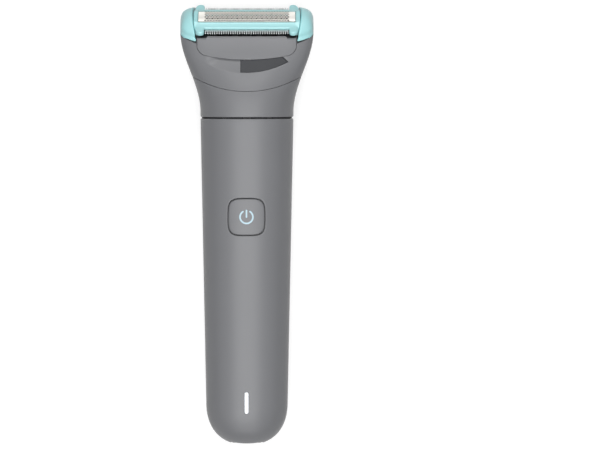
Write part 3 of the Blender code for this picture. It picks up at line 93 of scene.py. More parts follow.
def roundPairs(radius, count=5):
    # the same quarter round as pairs, one for each ring
    return list(zip(*roundSteps(radius, count)))


def roundOver(distance, radius):
    # drop of a quarter round at a distance from its edge
    left = np.clip(radius - distance, 0, radius)
    return radius - np.sqrt(radius * radius - left * left)


def edgeColumns(half, edge, count):
    # values from -half to half that are dense at both ends
    off = roundSteps(edge, 8)[0]
    turn = np.linspace(-math.pi / 2, math.pi / 2, count)
    return np.concatenate([-half + off[:-1], (half - edge) * np.sin(turn), half - off[::-1][1:]])


def bisect(test, like, low, high, steps=44):
    # the value from low to high where test turns from False to True, for an array shaped like another
    low, high = np.full(np.shape(like), low, float), np.full(np.shape(like), high, float)
    for step in range(steps):
        middle = (low + high) / 2
        over = test(middle)
        high = np.where(over, middle, high)
        low = np.where(over, low, middle)
    return (low + high) / 2


def lengthDown(spots):
    # length run down each column of a grid of points
    step = np.linalg.norm(np.diff(spots, axis=0), axis=-1)
    return np.concatenate([np.zeros((1, spots.shape[1])), np.cumsum(step, 0)])


def resample(want, length, values):
    # each column's values where its length reaches what is wanted
    return np.stack([np.interp(want[:, k], length[:, k], values[:, k]) for k in range(want.shape[1])], 1)


def outwardNormals(points, ring=False):
    # unit normals of a grid: cross product of its differences, turned away from the second axis
    across = np.gradient(points, axis=1)
    if ring:
        across = (np.roll(points, -1, 1) - np.roll(points, 1, 1)) / 2
    normal = unit(np.cross(across, np.gradient(points, axis=0)))
    return normal * np.sign((normal * points)[..., [0, 2]].sum(-1).mean())


def quadsOf(index, ring=False):
    # quads of a grid of vertex numbers
    if ring:
        index = np.concatenate([index, index[:, :1]], 1)
    corners = index[:-1, :-1], index[:-1, 1:], index[1:, 1:], index[1:, :-1]
    return np.stack(corners, -1).reshape(-1, 4)


def gridIndex(rows, columns, start=0):
    # vertex numbers of a grid, row by row
    return start + np.arange(rows * columns).reshape(rows, columns)


def meshOf(name, points, *faceSets):
    # mesh from points and arrays of equal-sided faces, turned so that its volume is positive
    volume = 0.0
    for faces in faceSets:
        corner = points[faces]
        for k in range(1, faces.shape[1] - 1):
            volume += np.einsum("ij,ij->", corner[:, 0], np.cross(corner[:, k], corner[:, k + 1]))
    if volume < 0:
        faceSets = [faces[:, ::-1] for faces in faceSets]
    loops = np.concatenate([faces.ravel() for faces in faceSets])
    sizes = np.concatenate([np.full(len(faces), faces.shape[1]) for faces in faceSets])
    mesh = bpy.data.meshes.new(name)
    mesh.vertices.add(len(points))
    mesh.vertices.foreach_set("co", toWorld(points).astype(np.float32).ravel())
    mesh.loops.add(len(loops))
    mesh.loops.foreach_set("vertex_index", loops.astype(np.int32))
    mesh.polygons.add(len(sizes))
    mesh.polygons.foreach_set("loop_start", (np.cumsum(sizes) - sizes).astype(np.int32))
    mesh.update(calc_edges=True)
    mesh.validate()
    return mesh


def slabMesh(name, outer, inner, *faceSets):
    # a skin, its inner wall, and a wall along every open edge of the skin
    count = len(outer)
    edges = np.concatenate(
        [np.stack([faces, np.roll(faces, -1, 1)], -1).reshape(-1, 2) for faces in faceSets]
    )
    key = edges.min(1).astype(np.int64) * count + edges.max(1)
    _, inverse, uses = np.unique(key, return_inverse=True, return_counts=True)
    rim = edges[uses[inverse.ravel()] == 1]
    walls = np.stack([rim[:, 1], rim[:, 0], rim[:, 0] + count, rim[:, 1] + count], 1)
    inside = [faces[:, ::-1] + count for faces in faceSets]
    return meshOf(name, np.concatenate([outer, inner]), *faceSets, *inside, walls)


def slabGrid(name, outer, inner, ring=False, keep=None):
    # slab whose skin is a grid of points, with all of its quads or those that are kept
    faces = quadsOf(gridIndex(*outer.shape[:2]), ring)
    if keep is not None:
        faces = faces[keep.ravel()]
    return slabMesh(name, outer.reshape(-1, 3), inner.reshape(-1, 3), faces)


def ringMesh(name, *stacks):
    # closed solids through rings of equal count, the first and last ring of each filled by one face
    points, faceSets, start = [], [], 0
    for rings in stacks:
        rings = np.asarray(rings, float)
        index = gridIndex(*rings.shape[:2], start)
        faceSets += [quadsOf(index, True), np.stack([index[0, ::-1], index[-1]])]
        points.append(rings.reshape(-1, 3))
        start += index.size
    return meshOf(name, np.concatenate(points), *faceSets)


def thing(mesh):
    # object of a mesh, linked to the scene
    made = bpy.data.objects.new(mesh.name, mesh)
    bpy.context.scene.collection.objects.link(made)
    return made


def cutBy(target, *tools, operation="DIFFERENCE"):
    # applied Booleans; the tools are removed
    for tool in tools:
        step = target.modifiers.new("cut", "BOOLEAN")
        step.operation = operation
        step.solver = "EXACT"
        step.object = tool
        bpy.context.view_layer.update()
        made = bpy.data.meshes.new_from_object(target.evaluated_get(bpy.context.evaluated_depsgraph_get()))
        target.modifiers.clear()
        target.data = made
        bpy.data.objects.remove(tool)


def prismTool(outline, low, high, turn=np.asarray):
    # outline of flat points carried between two levels, in the own frame or turned into it
    flat = np.asarray(outline, float)
    return thing(ringMesh("tool", [turn(atLevel(flat, level)) for level in (low, high)]))


def boxTool(low, high, turn=np.asarray):
    # box between two opposite corners
    corners = [low[:2], (high[0], low[1]), high[:2], (low[0], high[1])]
    return prismTool(corners, low[2], high[2], turn)


def rodTool(low, high, radius, turn):
    # round bar along the first axis, turned into the own frame; no corner lies on an axis
    sideCount, offAxis = 40, 0.04
    angle = fullTurn(sideCount) + offAxis
    circle = radius * np.stack([np.cos(angle), np.sin(angle)], -1)
    return thing(ringMesh("tool", [turn(atLevel(circle, x)[:, [2, 0, 1]]) for x in (low, high)]))


def holeAlong(across, low, high, radius):
    # round bar that runs along the handle
    return rodTool(low, high, radius, lambda points: points[:, [1, 0, 2]] + [across, 0, 0])


def addPiece(item, name, body, node, finish=None):
    # a mesh or an object becomes the piece that stands for a CAD node, in its slot's finish or another one
    if isinstance(item, bpy.types.Mesh):
        item = thing(item)
    item.name = item.data.name = name
    item.data.materials.clear()
    item.data.materials.append(finishes[finish or slotOf[node]])
    item.data.shade_smooth()
    item.data.set_sharp_from_angle(angle=place["smoothAngle"])
    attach(item, body)
    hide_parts(node)


def filletOutline(points, radii, steps):
    # closed outline whose corners are arcs of the given radii
    points = np.asarray(points, float)
    back, ahead = unit(np.roll(points, 1, 0) - points), unit(np.roll(points, -1, 0) - points)
    half = np.arccos(np.clip((back * ahead).sum(1), -1, 1)) / 2
    radii = np.broadcast_to(np.asarray(radii, float), half.shape)
    reach = (radii / np.tan(half))[:, None]
    centre = points + unit(back + ahead) * (radii / np.sin(half))[:, None]
    first, last = points + back * reach - centre, points + ahead * reach - centre
    sweep = (math.pi - 2 * half)[:, None, None]
    t = np.linspace(0, 1, steps)[None, :, None]
    arc = np.sin((1 - t) * sweep) * first[:, None, :] + np.sin(t * sweep) * last[:, None, :]
    return (centre[:, None, :] + arc / np.maximum(np.sin(sweep), 1e-9)).reshape(-1, 2)


# Finishes: three shared effects, the third a painted shade inside the trough, then a material for each slot
# of the record and four more, all with painted shade: near black blade steel and three trough-shaded copies

def addNode(tree, kind, **settings):
    # shader node with its settings
    node = tree.nodes.new("ShaderNode" + kind)
    for key, value in settings.items():
        setattr(node, key, value)
    return node


def maths(tree, operation, *values):
    # maths node fed by numbers and sockets
    node = addNode(tree, "Math", operation=operation)
    for socket, value in zip(node.inputs, values):
        if isinstance(value, (int, float)):
            socket.default_value = value
        else:
            tree.links.new(value, socket)
    return node.outputs[0]


def noise(tree, vector, scale, detail):
    # factor of a noise texture over a vector
    node = addNode(tree, "TexNoise")
    tree.links.new(vector, node.inputs["Vector"])
    node.inputs["Scale"].default_value = scale
    node.inputs["Detail"].default_value = detail
    return node.outputs[0]


def newGroup(name, inputs, outputs):
    # inputs by their first values: a colour, a vector or a number
    group = bpy.data.node_groups.new(name, "ShaderNodeTree")
    kinds = {4: "NodeSocketColor", 3: "NodeSocketVector", 1: "NodeSocketFloat"}
    for label, value in inputs.items():
        kind = kinds[np.size(value)]
        group.interface.new_socket(label, in_out="INPUT", socket_type=kind).default_value = value
    for label in outputs:
        kind = kinds[4 if label == "Colour" else 1]
        group.interface.new_socket(label, in_out="OUTPUT", socket_type=kind)
    at = addNode(group, "TexCoord").outputs["Object"]
    return group, group.nodes.new("NodeGroupInput").outputs, group.nodes.new("NodeGroupOutput").inputs, at


def tint(tree, colour, factor):
    # a colour times a factor
    node = addNode(tree, "VectorMath", operation="SCALE")
    tree.links.new(colour, node.inputs[0])
    tree.links.new(factor, node.inputs["Scale"])
    return node.outputs[0]


def surfaceGroup(pattern, **own):
    # colour and roughness that a pattern varies round their given values, and its height for a bump
    inputs = {"Colour": (0.5, 0.5, 0.5, 1), "Roughness": 0.4, **own}
    group, given, out, at = newGroup(pattern.__name__, inputs, ("Colour", "Roughness", "Height"))
    shade, amount, change, spread, height = pattern(group, at, given)
    factor = maths(group, "MULTIPLY_ADD", maths(group, "SUBTRACT", shade, 0.5), amount, 1.0)
    rough = maths(group, "MULTIPLY_ADD", maths(group, "SUBTRACT", change, 0.5), spread, given["Roughness"])
    group.links.new(tint(group, given["Colour"], factor), out["Colour"])
    group.links.new(rough, out["Roughness"])
    group.links.new(height, out["Height"])
    return group


def mouldedGrain(tree, at, given):
    # fine spark-eroded grain over slow cloudy variation, for moulded plastic and rubber
    fineScale, cloudScale, cloudPart, spread = 5200.0, 55.0, 0.7, 0.12
    grain, cloud = noise(tree, at, fineScale, 2.0), noise(tree, at, cloudScale, 3.0)
    fine = maths(tree, "MULTIPLY", grain, 1 - cloudPart)
    return maths(tree, "MULTIPLY_ADD", cloud, cloudPart, fine), given["Mottle"], cloud, spread, grain


def brushedLines(tree, at, given):
    # noise drawn out into lines, for ground and drawn metal
    drawn = addNode(tree, "VectorMath", operation="MULTIPLY")
    tree.links.new(at, drawn.inputs[0])
    tree.links.new(given["Stretch"], drawn.inputs[1])
    spread, line = 0.25, noise(tree, drawn.outputs[0], 1.0, 3.0)
    return line, given["Streak"], line, spread, line


def troughPaintedShade():
    # painted shade: a dark tone over the colour inside the head's trough, where shade falls; in metres: a box
    # in the cartridge's frame, whose rear is y sin - z cos and whose out is y cos + z sin of the tilt
    trough = {"tilt": math.radians(42), "along": 0.080139, "level": 0.0162, "wide": 0.0196, "deep": 0.0082,
              "top": 0.0005, "low": -0.006}
    inputs = {"Colour": (0.5, 0.5, 0.5, 1), "Tone": 0.05}
    group, given, out, at = newGroup("troughPaintedShade", inputs, ("Colour",))
    split = addNode(group, "SeparateXYZ")
    group.links.new(at, split.inputs[0])
    y = maths(group, "SUBTRACT", split.outputs["Y"], trough["along"])
    z = maths(group, "SUBTRACT", split.outputs["Z"], trough["level"])
    c, s = math.cos(trough["tilt"]), math.sin(trough["tilt"])
    rear = maths(group, "SUBTRACT", maths(group, "MULTIPLY", y, s), maths(group, "MULTIPLY", z, c))
    level = maths(group, "ADD", maths(group, "MULTIPLY", y, c), maths(group, "MULTIPLY", z, s))
    troughShadeMask = maths(group, "LESS_THAN", maths(group, "ABSOLUTE", rear), trough["deep"])
    for test, value, limit in (("LESS_THAN", maths(group, "ABSOLUTE", split.outputs["X"]), trough["wide"]),
                               ("LESS_THAN", level, trough["top"]), ("GREATER_THAN", level, trough["low"])):
        troughShadeMask = maths(group, "MULTIPLY", troughShadeMask, maths(group, test, value, limit))
    factor = maths(group, "MULTIPLY_ADD", troughShadeMask, maths(group, "SUBTRACT", given["Tone"], 1.0), 1.0)
    group.links.new(tint(group, given["Colour"], factor), out["Colour"])
    return group


grainGroup = surfaceGroup(mouldedGrain, Mottle=0.05)
brushGroup = surfaceGroup(brushedLines, Stretch=(60.0, 2600.0, 2600.0), Streak=0.12)
troughShadeGroup = troughPaintedShade()


reliefDepth = 0.00004


def finishOf(name, group, colour, roughness, bump, own):
    # own holds values for the effect's inputs and for the shader's sockets
    made = bpy.data.materials.new(name)
    made.use_nodes = True
    tree = made.node_tree
    shader = tree.nodes["Principled BSDF"]
    effect = addNode(tree, "Group", node_tree=group)
    effect.inputs["Colour"].default_value = (*colour, 1)
    effect.inputs["Roughness"].default_value = roughness
    shader.inputs["Metallic"].default_value = 1.0 if group == brushGroup else 0.0
    for label, value in own.items():
        (effect if label in effect.inputs else shader).inputs[label].default_value = value
    relief = addNode(tree, "Bump")
    relief.inputs["Strength"].default_value = bump
    relief.inputs["Distance"].default_value = reliefDepth
    tree.links.new(effect.outputs["Colour"], shader.inputs["Base Color"])
    tree.links.new(effect.outputs["Roughness"], shader.inputs["Roughness"])
    tree.links.new(effect.outputs["Height"], relief.inputs["Height"])
    tree.links.new(relief.outputs["Normal"], shader.inputs["Normal"])
    return made


def troughShadeFinish(finish):
    # the same finish with the trough's painted shade, a dark tone, over its colour
    made = finish.copy()
    tree = made.node_tree
    colour = tree.nodes["Principled BSDF"].inputs["Base Color"]
    tone = addNode(tree, "Group", node_tree=troughShadeGroup)
    tree.links.new(colour.links[0].from_socket, tone.inputs["Colour"])
    tree.links.new(tone.outputs["Colour"], colour)
    return made


# colour, roughness, bump and what else differs
plastics = {
    "satin_grey": ((0.192, 0.195, 0.205), 0.39, 0.12, {"Specular IOR Level": 0.36}),
    # dark_grey dresses the release catch: a real part whose dark pad stands where the thumb recess lies in
    # shade, so its darkness is painted shade
    "dark_grey": ((0.053, 0.055, 0.06), 0.5, 0.15, {"Specular IOR Level": 0.25}),
    "teal": ((0.4, 0.74, 0.76), 0.3, 0.05, {}),
    "black_plastic": ((0.02, 0.02, 0.022), 0.5, 0.2, {}),
    "seal_rubber": ((0.035, 0.035, 0.038), 0.75, 0.25, {"Mottle": 0.2}),
    "battery_sleeve": ((0.05, 0.2, 0.16), 0.35, 0.05, {}),
    "circuit_green": ((0.02, 0.14, 0.06), 0.4, 0.1, {"Mottle": 0.3}),
    "lamp_white": ((0.95, 0.96, 0.98), 0.3, 0.03,
                   {"Emission Color": (0.9, 0.95, 1.0, 1), "Emission Strength": 0.45}),
    "icon_blue": ((0.42, 0.58, 0.66), 0.35, 0.03,
                  {"Emission Color": (0.42, 0.58, 0.66, 1), "Emission Strength": 0.08}),
    "white_plastic": ((0.8, 0.8, 0.78), 0.45, 0.1, {}),
}
metals = {
    "steel": ((0.6, 0.6, 0.6), 0.3, 0.1, {}),
    "foil_steel": ((0.86, 0.84, 0.79), 0.34, 0.06, {"Streak": 0.1}),
    "comb_steel": ((0.5, 0.52, 0.52), 0.36, 0.1, {"Stretch": (2600.0, 60.0, 60.0)}),
    # blade steel darkened near black: painted shade, so that the foil's holes and the comb's gaps read dark
    "blade_steel_painted_shade": ((0.06, 0.065, 0.065), 0.45, 0.1, {}),
    "zinc": ((0.5, 0.5, 0.5), 0.42, 0.1, {}),
    "brass": ((0.7, 0.52, 0.24), 0.3, 0.08, {}),
    "nickel": ((0.65, 0.62, 0.56), 0.35, 0.1, {}),
}
finishes = {name: finishOf(name, grainGroup, *row) for name, row in plastics.items()}
finishes.update({name: finishOf(name, brushGroup, *row) for name, row in metals.items()})
# copies with painted shade: the trough's inside made dark where shade falls
for name, plain in (("head_grey", "satin_grey"), ("frame_teal", "teal"), ("bridge_white", "white_plastic")):
    finishes[name] = troughShadeFinish(finishes[plain])
# the blades and the foil's cutter take the darkened steel, painted shade; the drive bridge takes the white
# with painted shade in the trough
ownFinish = {"trimmer_blade_front": "blade_steel_painted_shade", "trimmer_blade_rear": "blade_steel_painted_shade",
             "foil_cutter": "blade_steel_painted_shade", "drive_bridge": "bridge_white"}
for name, slot in slotOf.items():
    frame["nodes"][name].data.materials.clear()
    frame["nodes"][name].data.materials.append(finishes[ownFinish.get(name, slot)])
print("finishes", len(finishes))


# Handle

handle = {
    "top": 130.46, "end": 17.6, "halfLow": 16.3, "halfTop": 18.6, "frontLow": 13.6, "frontTop": 15.2,
    "rear": 14.6, "power": 2.3, "endPower": 2.35, "tilt": math.radians(2.3), "wall": 2.0, "parting": 0.15,
    "edge": 0.3, "topEdge": 0.4, "mouthEdge": 0.35, "columns": 150, "rowStep": 1.25, "endRows": 30,
    "patchRings": (0.12, 0.3, 0.55, 0.8),
}
mouth = {"halfWidth": 6.3, "halfDepth": 4.7, "corner": 2.5}
button = {"along": 91.0, "half": 7.1, "power": 4.0, "gap": 0.4, "edge": 0.28, "flangeTop": 10.815,
          "flangeLow": 9.815, "lip": 1.3, "backRing": -2.0, "window": 10.4}
slit = {"low": 13.0, "high": 21.4, "half": 0.65, "gap": 0.15, "edge": 0.15, "pipeEdge": 0.12, "lip": 1.2,
        "flangeTop": 8.4, "flangeLow": 6.915, "windowAcross": 3.4, "windowAlong": 2.6}


def endSwell(station):
    # share of the full section at a station of the rounded end
    return np.sin(np.clip(station, 0, 1) * math.pi / 2) ** (2 / handle["endPower"])


def endStation(swell):
    # and back: the station where the end has swollen to a share
    return np.arcsin(np.clip(swell, 0, 1) ** (handle["endPower"] / 2)) / (math.pi / 2)


def handleSkin(angle, station, inset=0.0):
    # station 0 to 1 is the rounded end, where sizes swell with sin^(2/p) and along runs with cos^(2/p);
    # 1 to 2 is the straight part, a line from the end's rim to the tilted top loop
    c, s = superCurve(angle, handle["power"])
    share = np.clip(station - 1, 0, 1)
    swell = endSwell(station)
    fall = np.clip(np.cos(np.clip(station, 0, 1) * math.pi / 2), 0, 1) ** (2 / handle["endPower"])
    rim = handle["end"] - (handle["end"] - inset) * fall
    low = np.where(s > 0, handle["frontLow"], handle["rear"]) - inset
    top = np.where(s > 0, handle["frontTop"], handle["rear"]) - inset
    x = mix(swell * (handle["halfLow"] - inset), handle["halfTop"] - inset, share) * c
    y = mix(rim, handle["top"] - top * s * math.sin(handle["tilt"]), share)
    z = mix(swell * low, top * math.cos(handle["tilt"]), share) * s
    return np.stack([x, y, z], -1)


def crownOf(x, wide, power):
    # height of a superellipse of half width wide, as a share of its half depth
    return (1 - np.clip(np.abs(x) / wide, 0, 1) ** power) ** (1 / power)


def handleFront(x, y, inset=0.0):
    # height of the front skin over (across, along): the straight part by fixed point, the end by its swell
    x, y = np.broadcast_arrays(np.asarray(x, float), np.asarray(y, float))
    power, endPower = handle["power"], handle["endPower"]
    length = handle["top"] - handle["end"]
    tip = (handle["frontTop"] - inset) * math.sin(handle["tilt"])
    share = np.clip((y - handle["end"]) / length, 0, 1)
    for step in range(5):
        wide = mix(handle["halfLow"], handle["halfTop"], share) - inset
        crown = crownOf(x, wide, power)
        share = np.clip((y - handle["end"]) / (length - tip * crown), 0, 1)
    deep = mix(handle["frontLow"] - inset, (handle["frontTop"] - inset) * math.cos(handle["tilt"]), share)
    left = np.clip((handle["end"] - y) / (handle["end"] - inset), 0, 1)
    swell = (1 - left**endPower) ** (1 / endPower)
    endCrown = crownOf(x, np.maximum(swell * (handle["halfLow"] - inset), 1e-6), power)
    height = np.where(y > handle["end"], deep * crown, swell * (handle["frontLow"] - inset) * endCrown)
    return np.hypot(height, handle["parting"])


def onFront(flat, lift=0.0):
    # flat points (across, along) set on the front skin
    return np.column_stack([flat, handleFront(flat[:, 0], flat[:, 1]) + lift])


def roundedBox(x, z, halfWidth, halfDepth, corner):
    # signed distance to a rounded rectangle
    qx, qz = np.abs(x) - halfWidth + corner, np.abs(z) - halfDepth + corner
    return np.hypot(np.maximum(qx, 0), np.maximum(qz, 0)) + np.minimum(np.maximum(qx, qz), 0) - corner


def buttonOutline(angle, grow):
    # superellipse by its polar angle
    power = button["power"]
    reach = (np.abs(np.cos(angle)) ** power + np.abs(np.sin(angle)) ** power) ** (-1 / power)
    reach = (button["half"] + grow) * reach
    return np.stack([reach * np.cos(angle), button["along"] + reach * np.sin(angle)], -1)


def slitOutline(angle, grow):
    # stadium by the direction of its edge: a half circle at each end
    half = slit["half"] + grow
    low, high = slit["low"] + slit["half"], slit["high"] - slit["half"]
    middle = np.where(np.sin(angle) >= 0, high, low)
    return np.stack([half * np.cos(angle), middle + half * np.sin(angle)], -1)


def shellRows(angle, deep):
    # stations from the socket's mouth to the top edge, with the drops of the rounds at both ends
    c, s = superCurve(angle, handle["power"])
    x, z = handle["halfLow"] * c, deep * s
    edge = bisect(lambda share: roundedBox(share * x, share * z, **mouth) > 0, angle, 0.02, 0.95)
    off, drop = roundSteps(handle["mouthEdge"])
    lower = endStation(edge + off[:, None] / np.hypot(x, z))
    dome = mix(lower[-1], 1, np.linspace(0, 1, handle["endRows"])[1:, None])
    length = handle["top"] - handle["end"]
    offTop, dropTop = roundSteps(handle["topEdge"])
    count = int((length - handle["topEdge"]) / handle["rowStep"])
    straight = 1 + np.linspace(0, 1 - offTop[-1] / length, count)[1:]
    upper = 2 - offTop[::-1][1:] / length
    stations = np.concatenate([lower, dome, np.concatenate([straight, upper])[:, None] + 0 * angle])
    drops = np.zeros(len(stations))
    drops[: len(drop)] = drop
    drops[-len(dropTop):] = dropTop[::-1]
    return stations, drops


def ringPatch(outline, border, inset, edge):
    # rings of points on the skin from a hole's outline to a window's border, with a rounded lip outside
    off, drop = roundSteps(edge)
    away = unit(border - outline)
    spots = [outline + away * d for d in off]
    spots += [mix(spots[-1], border, share) for share in handle["patchRings"]]
    spots = np.stack(spots)
    fall = np.zeros((len(spots), 1))
    if inset == 0:
        fall[: len(drop), 0] = drop
    return np.concatenate([spots, (handleFront(spots[..., 0], spots[..., 1], inset) - fall)[..., None]], -1)


def facingOut(points, faces):
    # one set of the front skin's faces, turned away from the handle's axis
    corner = points[faces]
    normal = np.cross(corner[:, 2] - corner[:, 0], corner[:, 3] - corner[:, 1])
    return faces if (normal * corner.mean(1))[:, [0, 2]].sum() > 0 else faces[:, ::-1]


def cutHoles(outer, inner):
    # windows of the front's grid round the button and the slit, each filled by rings down to its hole
    rows, columns = outer.shape[:2]
    along, across = outer[:, columns // 2, 1], outer[..., 0]
    index, keep = gridIndex(rows, columns), np.ones((rows - 1, columns - 1), bool)
    outer, inner, sets = outer.reshape(-1, 3), inner.reshape(-1, 3), []
    holes = (
        (buttonOutline, button, button["along"], button["window"], button["window"]),
        (slitOutline, slit, (slit["low"] + slit["high"]) / 2, slit["windowAcross"],
         (slit["high"] - slit["low"]) / 2 + slit["windowAlong"]),
    )
    for outline, sizes, centre, halfAcross, halfAlong in holes:
        rowLow, rowHigh = np.searchsorted(along, (centre - halfAlong, centre + halfAlong))
        columnLow = int(np.argmax(across[rowLow] < halfAcross))
        columnHigh = columns - 1 - columnLow
        keep[rowLow:rowHigh, columnLow:columnHigh] = False
        window = index[rowLow : rowHigh + 1, columnLow : columnHigh + 1]
        loop = np.concatenate([window[:-1, 0], window[-1, :-1], window[:0:-1, -1], window[0, :0:-1]])
        border = outer[loop][:, :2]
        angle = np.arctan2(border[:, 1] - centre, border[:, 0])
        if outline is slitOutline:
            angle = angle[0] + fullTurn(len(loop))
        line = outline(angle, sizes["gap"])
        patch = ringPatch(line, border, 0.0, sizes["edge"])
        back = ringPatch(line, inner[loop][:, :2], handle["wall"], sizes["edge"])
        numbers = np.concatenate([gridIndex(*patch.shape[:2], len(outer)), loop[None]])
        sets.append(quadsOf(numbers, True))
        outer = np.concatenate([outer, patch.reshape(-1, 3)])
        inner = np.concatenate([inner, back.reshape(-1, 3)])
    sets.append(quadsOf(index)[keep.ravel()])
    return outer, inner, *[facingOut(outer, one) for one in sets]


def shellMesh(front):
    # one half of the handle: a grid from the socket's mouth to the top with rounded edges, and its inner wall
    deep = handle["frontLow"] if front else handle["rear"]
    off, drop = roundSteps(handle["edge"])
    first = np.arcsin((off / deep) ** (handle["power"] / 2))
    main = np.linspace(first[-1], math.pi - first[-1], handle["columns"])
    angle = np.concatenate([first[:-1], main, math.pi - first[::-1][1:]]) + (0 if front else math.pi)
    side = np.concatenate([drop[:-1], np.zeros(handle["columns"]), drop[::-1][1:]])
    stations, drops = shellRows(angle, deep)
    outer = handleSkin(angle, stations)
    outer = outer - outwardNormals(outer) * np.maximum(drops[:, None], side)[..., None]
    # inside, the rounded end starts further out, so that the mouth's wall stays clear of the socket
    low = stations[0]
    lowInner = endStation(endSwell(low) * deep / (deep - handle["wall"]))
    end = mix(lowInner, 1, (stations - low) / (1 - low))
    inner = handleSkin(angle, np.where(stations < 1, end, stations), handle["wall"])
    for skin in (outer, inner):
        skin[..., 2] = (1 if front else -1) * np.hypot(skin[..., 2], handle["parting"])
    if front:
        return slabMesh("shell", *cutHoles(outer, inner))
    outer[..., 2] = np.maximum(outer[..., 2], -place["rest"])
    return slabGrid("shell", outer, inner)


addPiece(shellMesh(True), "handle_front", "handle", "front_shell")
addPiece(shellMesh(False), "handle_rear", "handle", "rear_shell")
print("handle shells made")


# Power button with its symbol, and the light slit

icon = {"radius": 2.55, "stroke": 0.65, "bar": 3.2, "opening": math.radians(34), "proud": 0.03, "deep": 0.5,
        "cap": 9, "profile": ((0.12, 1.0), (0.7, 1.0), (0.92, 0.6), (1.0, 0.0))}


def plugMesh(crown, outline, angle, edge, steps, sizes, backRing):
    # rings over the crowned top, round its edge, down the side and round the flange under the wall
    rings = [onFront(flat) for flat in crown]
    rings += [onFront(outline(angle, -d), -fall) for d, fall in roundPairs(edge, steps)[::-1]]
    lip, top, low = sizes["lip"], sizes["flangeTop"], sizes["flangeLow"]
    flange = (0, top), (lip, top), (lip, low), (backRing, low)
    rings += [atLevel(outline(angle, grow), level) for grow, level in flange]
    return ringMesh("plug", rings)


def buttonMesh():
    # outline shrunk towards its middle in steps, then the plug's edge, side and flange
    angle, middle = fullTurn(144), [0, button["along"]]
    flat = (buttonOutline(angle, 0) - middle) * (1 - button["edge"] / button["half"])
    crown = [flat * share + middle for share in np.linspace(0.04, 1, 14)[:-1]]
    return plugMesh(crown, buttonOutline, angle, button["edge"], 5, button, button["backRing"])


def slitMesh():
    # outline drawn in by steps, then the plug's edge, side and flange
    angle = fullTurn(64)
    crown = [slitOutline(angle, (share - 1) * slit["half"]) for share in (0.1, 0.45, 0.75)]
    return plugMesh(crown, slitOutline, angle, slit["pipeEdge"], 4, slit, 0)


def strokeRings(line):
    # a stroke of even width with round ends on the skin: rings from its middle line outwards, then down
    half, spare = icon["stroke"] / 2, icon["cap"] - 2
    step = unit(np.gradient(line, axis=0))
    side = np.column_stack([-step[:, 1], step[:, 0]])
    turn = np.linspace(0, math.pi, icon["cap"])[1:-1, None]
    end = line[-1] + half * (np.cos(turn) * side[-1] + np.sin(turn) * step[-1])
    start = line[0] - half * (np.cos(turn) * side[0] + np.sin(turn) * step[0])
    outline = np.concatenate([line + half * side, end, (line - half * side)[::-1], start])
    spine = np.concatenate([line, line[-1:].repeat(spare, 0), line[::-1], line[:1].repeat(spare, 0)])
    rings = [onFront(mix(spine, outline, share), icon["proud"] * rise) for share, rise in icon["profile"]]
    return rings + [rings[-1] - [0, 0, icon["deep"]]]


def iconMesh():
    # an open ring and an upright bar in its gap
    radius, opening, top = icon["radius"], icon["opening"], button["along"] + icon["radius"]
    turn = math.pi / 2 + opening + (2 * math.pi - 2 * opening) * np.linspace(0, 1, 73)
    ring = np.column_stack([radius * np.cos(turn), button["along"] + radius * np.sin(turn)])
    bar = np.column_stack([np.zeros(12), np.linspace(top - icon["bar"] + icon["stroke"], top, 12)])
    return ringMesh("icon", strokeRings(ring), strokeRings(bar))


addPiece(buttonMesh(), "button_face", "button", "power_button")
addPiece(iconMesh(), "button_symbol", "button", "icon_lens")
addPiece(slitMesh(), "light_slit", "handle", "status_light_pipe")
print("button and slit made")


# Neck and shaving head

head = {
    "low": 131.25, "length": 37.2, "halfWidth": 26.6, "halfDepth": 9.5, "power": 4.0, "rise": 2.0,
    "tilt": math.radians(42), "tiltStart": 0.1, "rearHold": 6, "powerHold": 4, "flareStart": 1.8,
    "flareEnd": 34.8, "crown": 5.0, "crownCorner": 5.1, "crownSweep": math.radians(76), "wall": 2.2,
    "trough": -0.8, "troughHalf": 22.35, "columns": 288, "rows": 120,
}
neck = {
    "edge": 0.3, "rows": 22, "floorLow": 0.25, "floor": 2.0, "spigotWidth": 15.5, "spigotFront": 8.2,
    "spigotRear": 9.6, "spigotWall": 1.5, "spigotRise": 15.0, "spigotEdge": 0.4, "slotAcross": 2.9,
    "slotDeep": 1.9, "slotMiddle": -2.684, "join": 1.2, "seam": 0.13, "screwAcross": 9.0, "screwHole": 1.15,
}
arc = {"middle": 181.35, "radius": 40.7, "gap": 0.14, "edge": 0.14}
pivot = head["low"] + head["length"]
tiltCos, tiltSin = math.cos(head["tilt"]), math.sin(head["tilt"])


def fromCartridge(points):
    # cartridge frame (across, rear, out through the foil) to the own frame
    x, y, z = np.moveaxis(np.asarray(points, float), -1, 0)
    return np.stack([x, pivot + y * tiltSin + z * tiltCos, head["rise"] - y * tiltCos + z * tiltSin], -1)


def rearOf(y, z):
    # to the rear of the pivot, in the cartridge frame
    return (y - pivot) * tiltSin - (z - head["rise"]) * tiltCos


def outOf(y, z):
    # out through the foil from the pivot, in the cartridge frame
    return (y - pivot) * tiltCos + (z - head["rise"]) * tiltSin


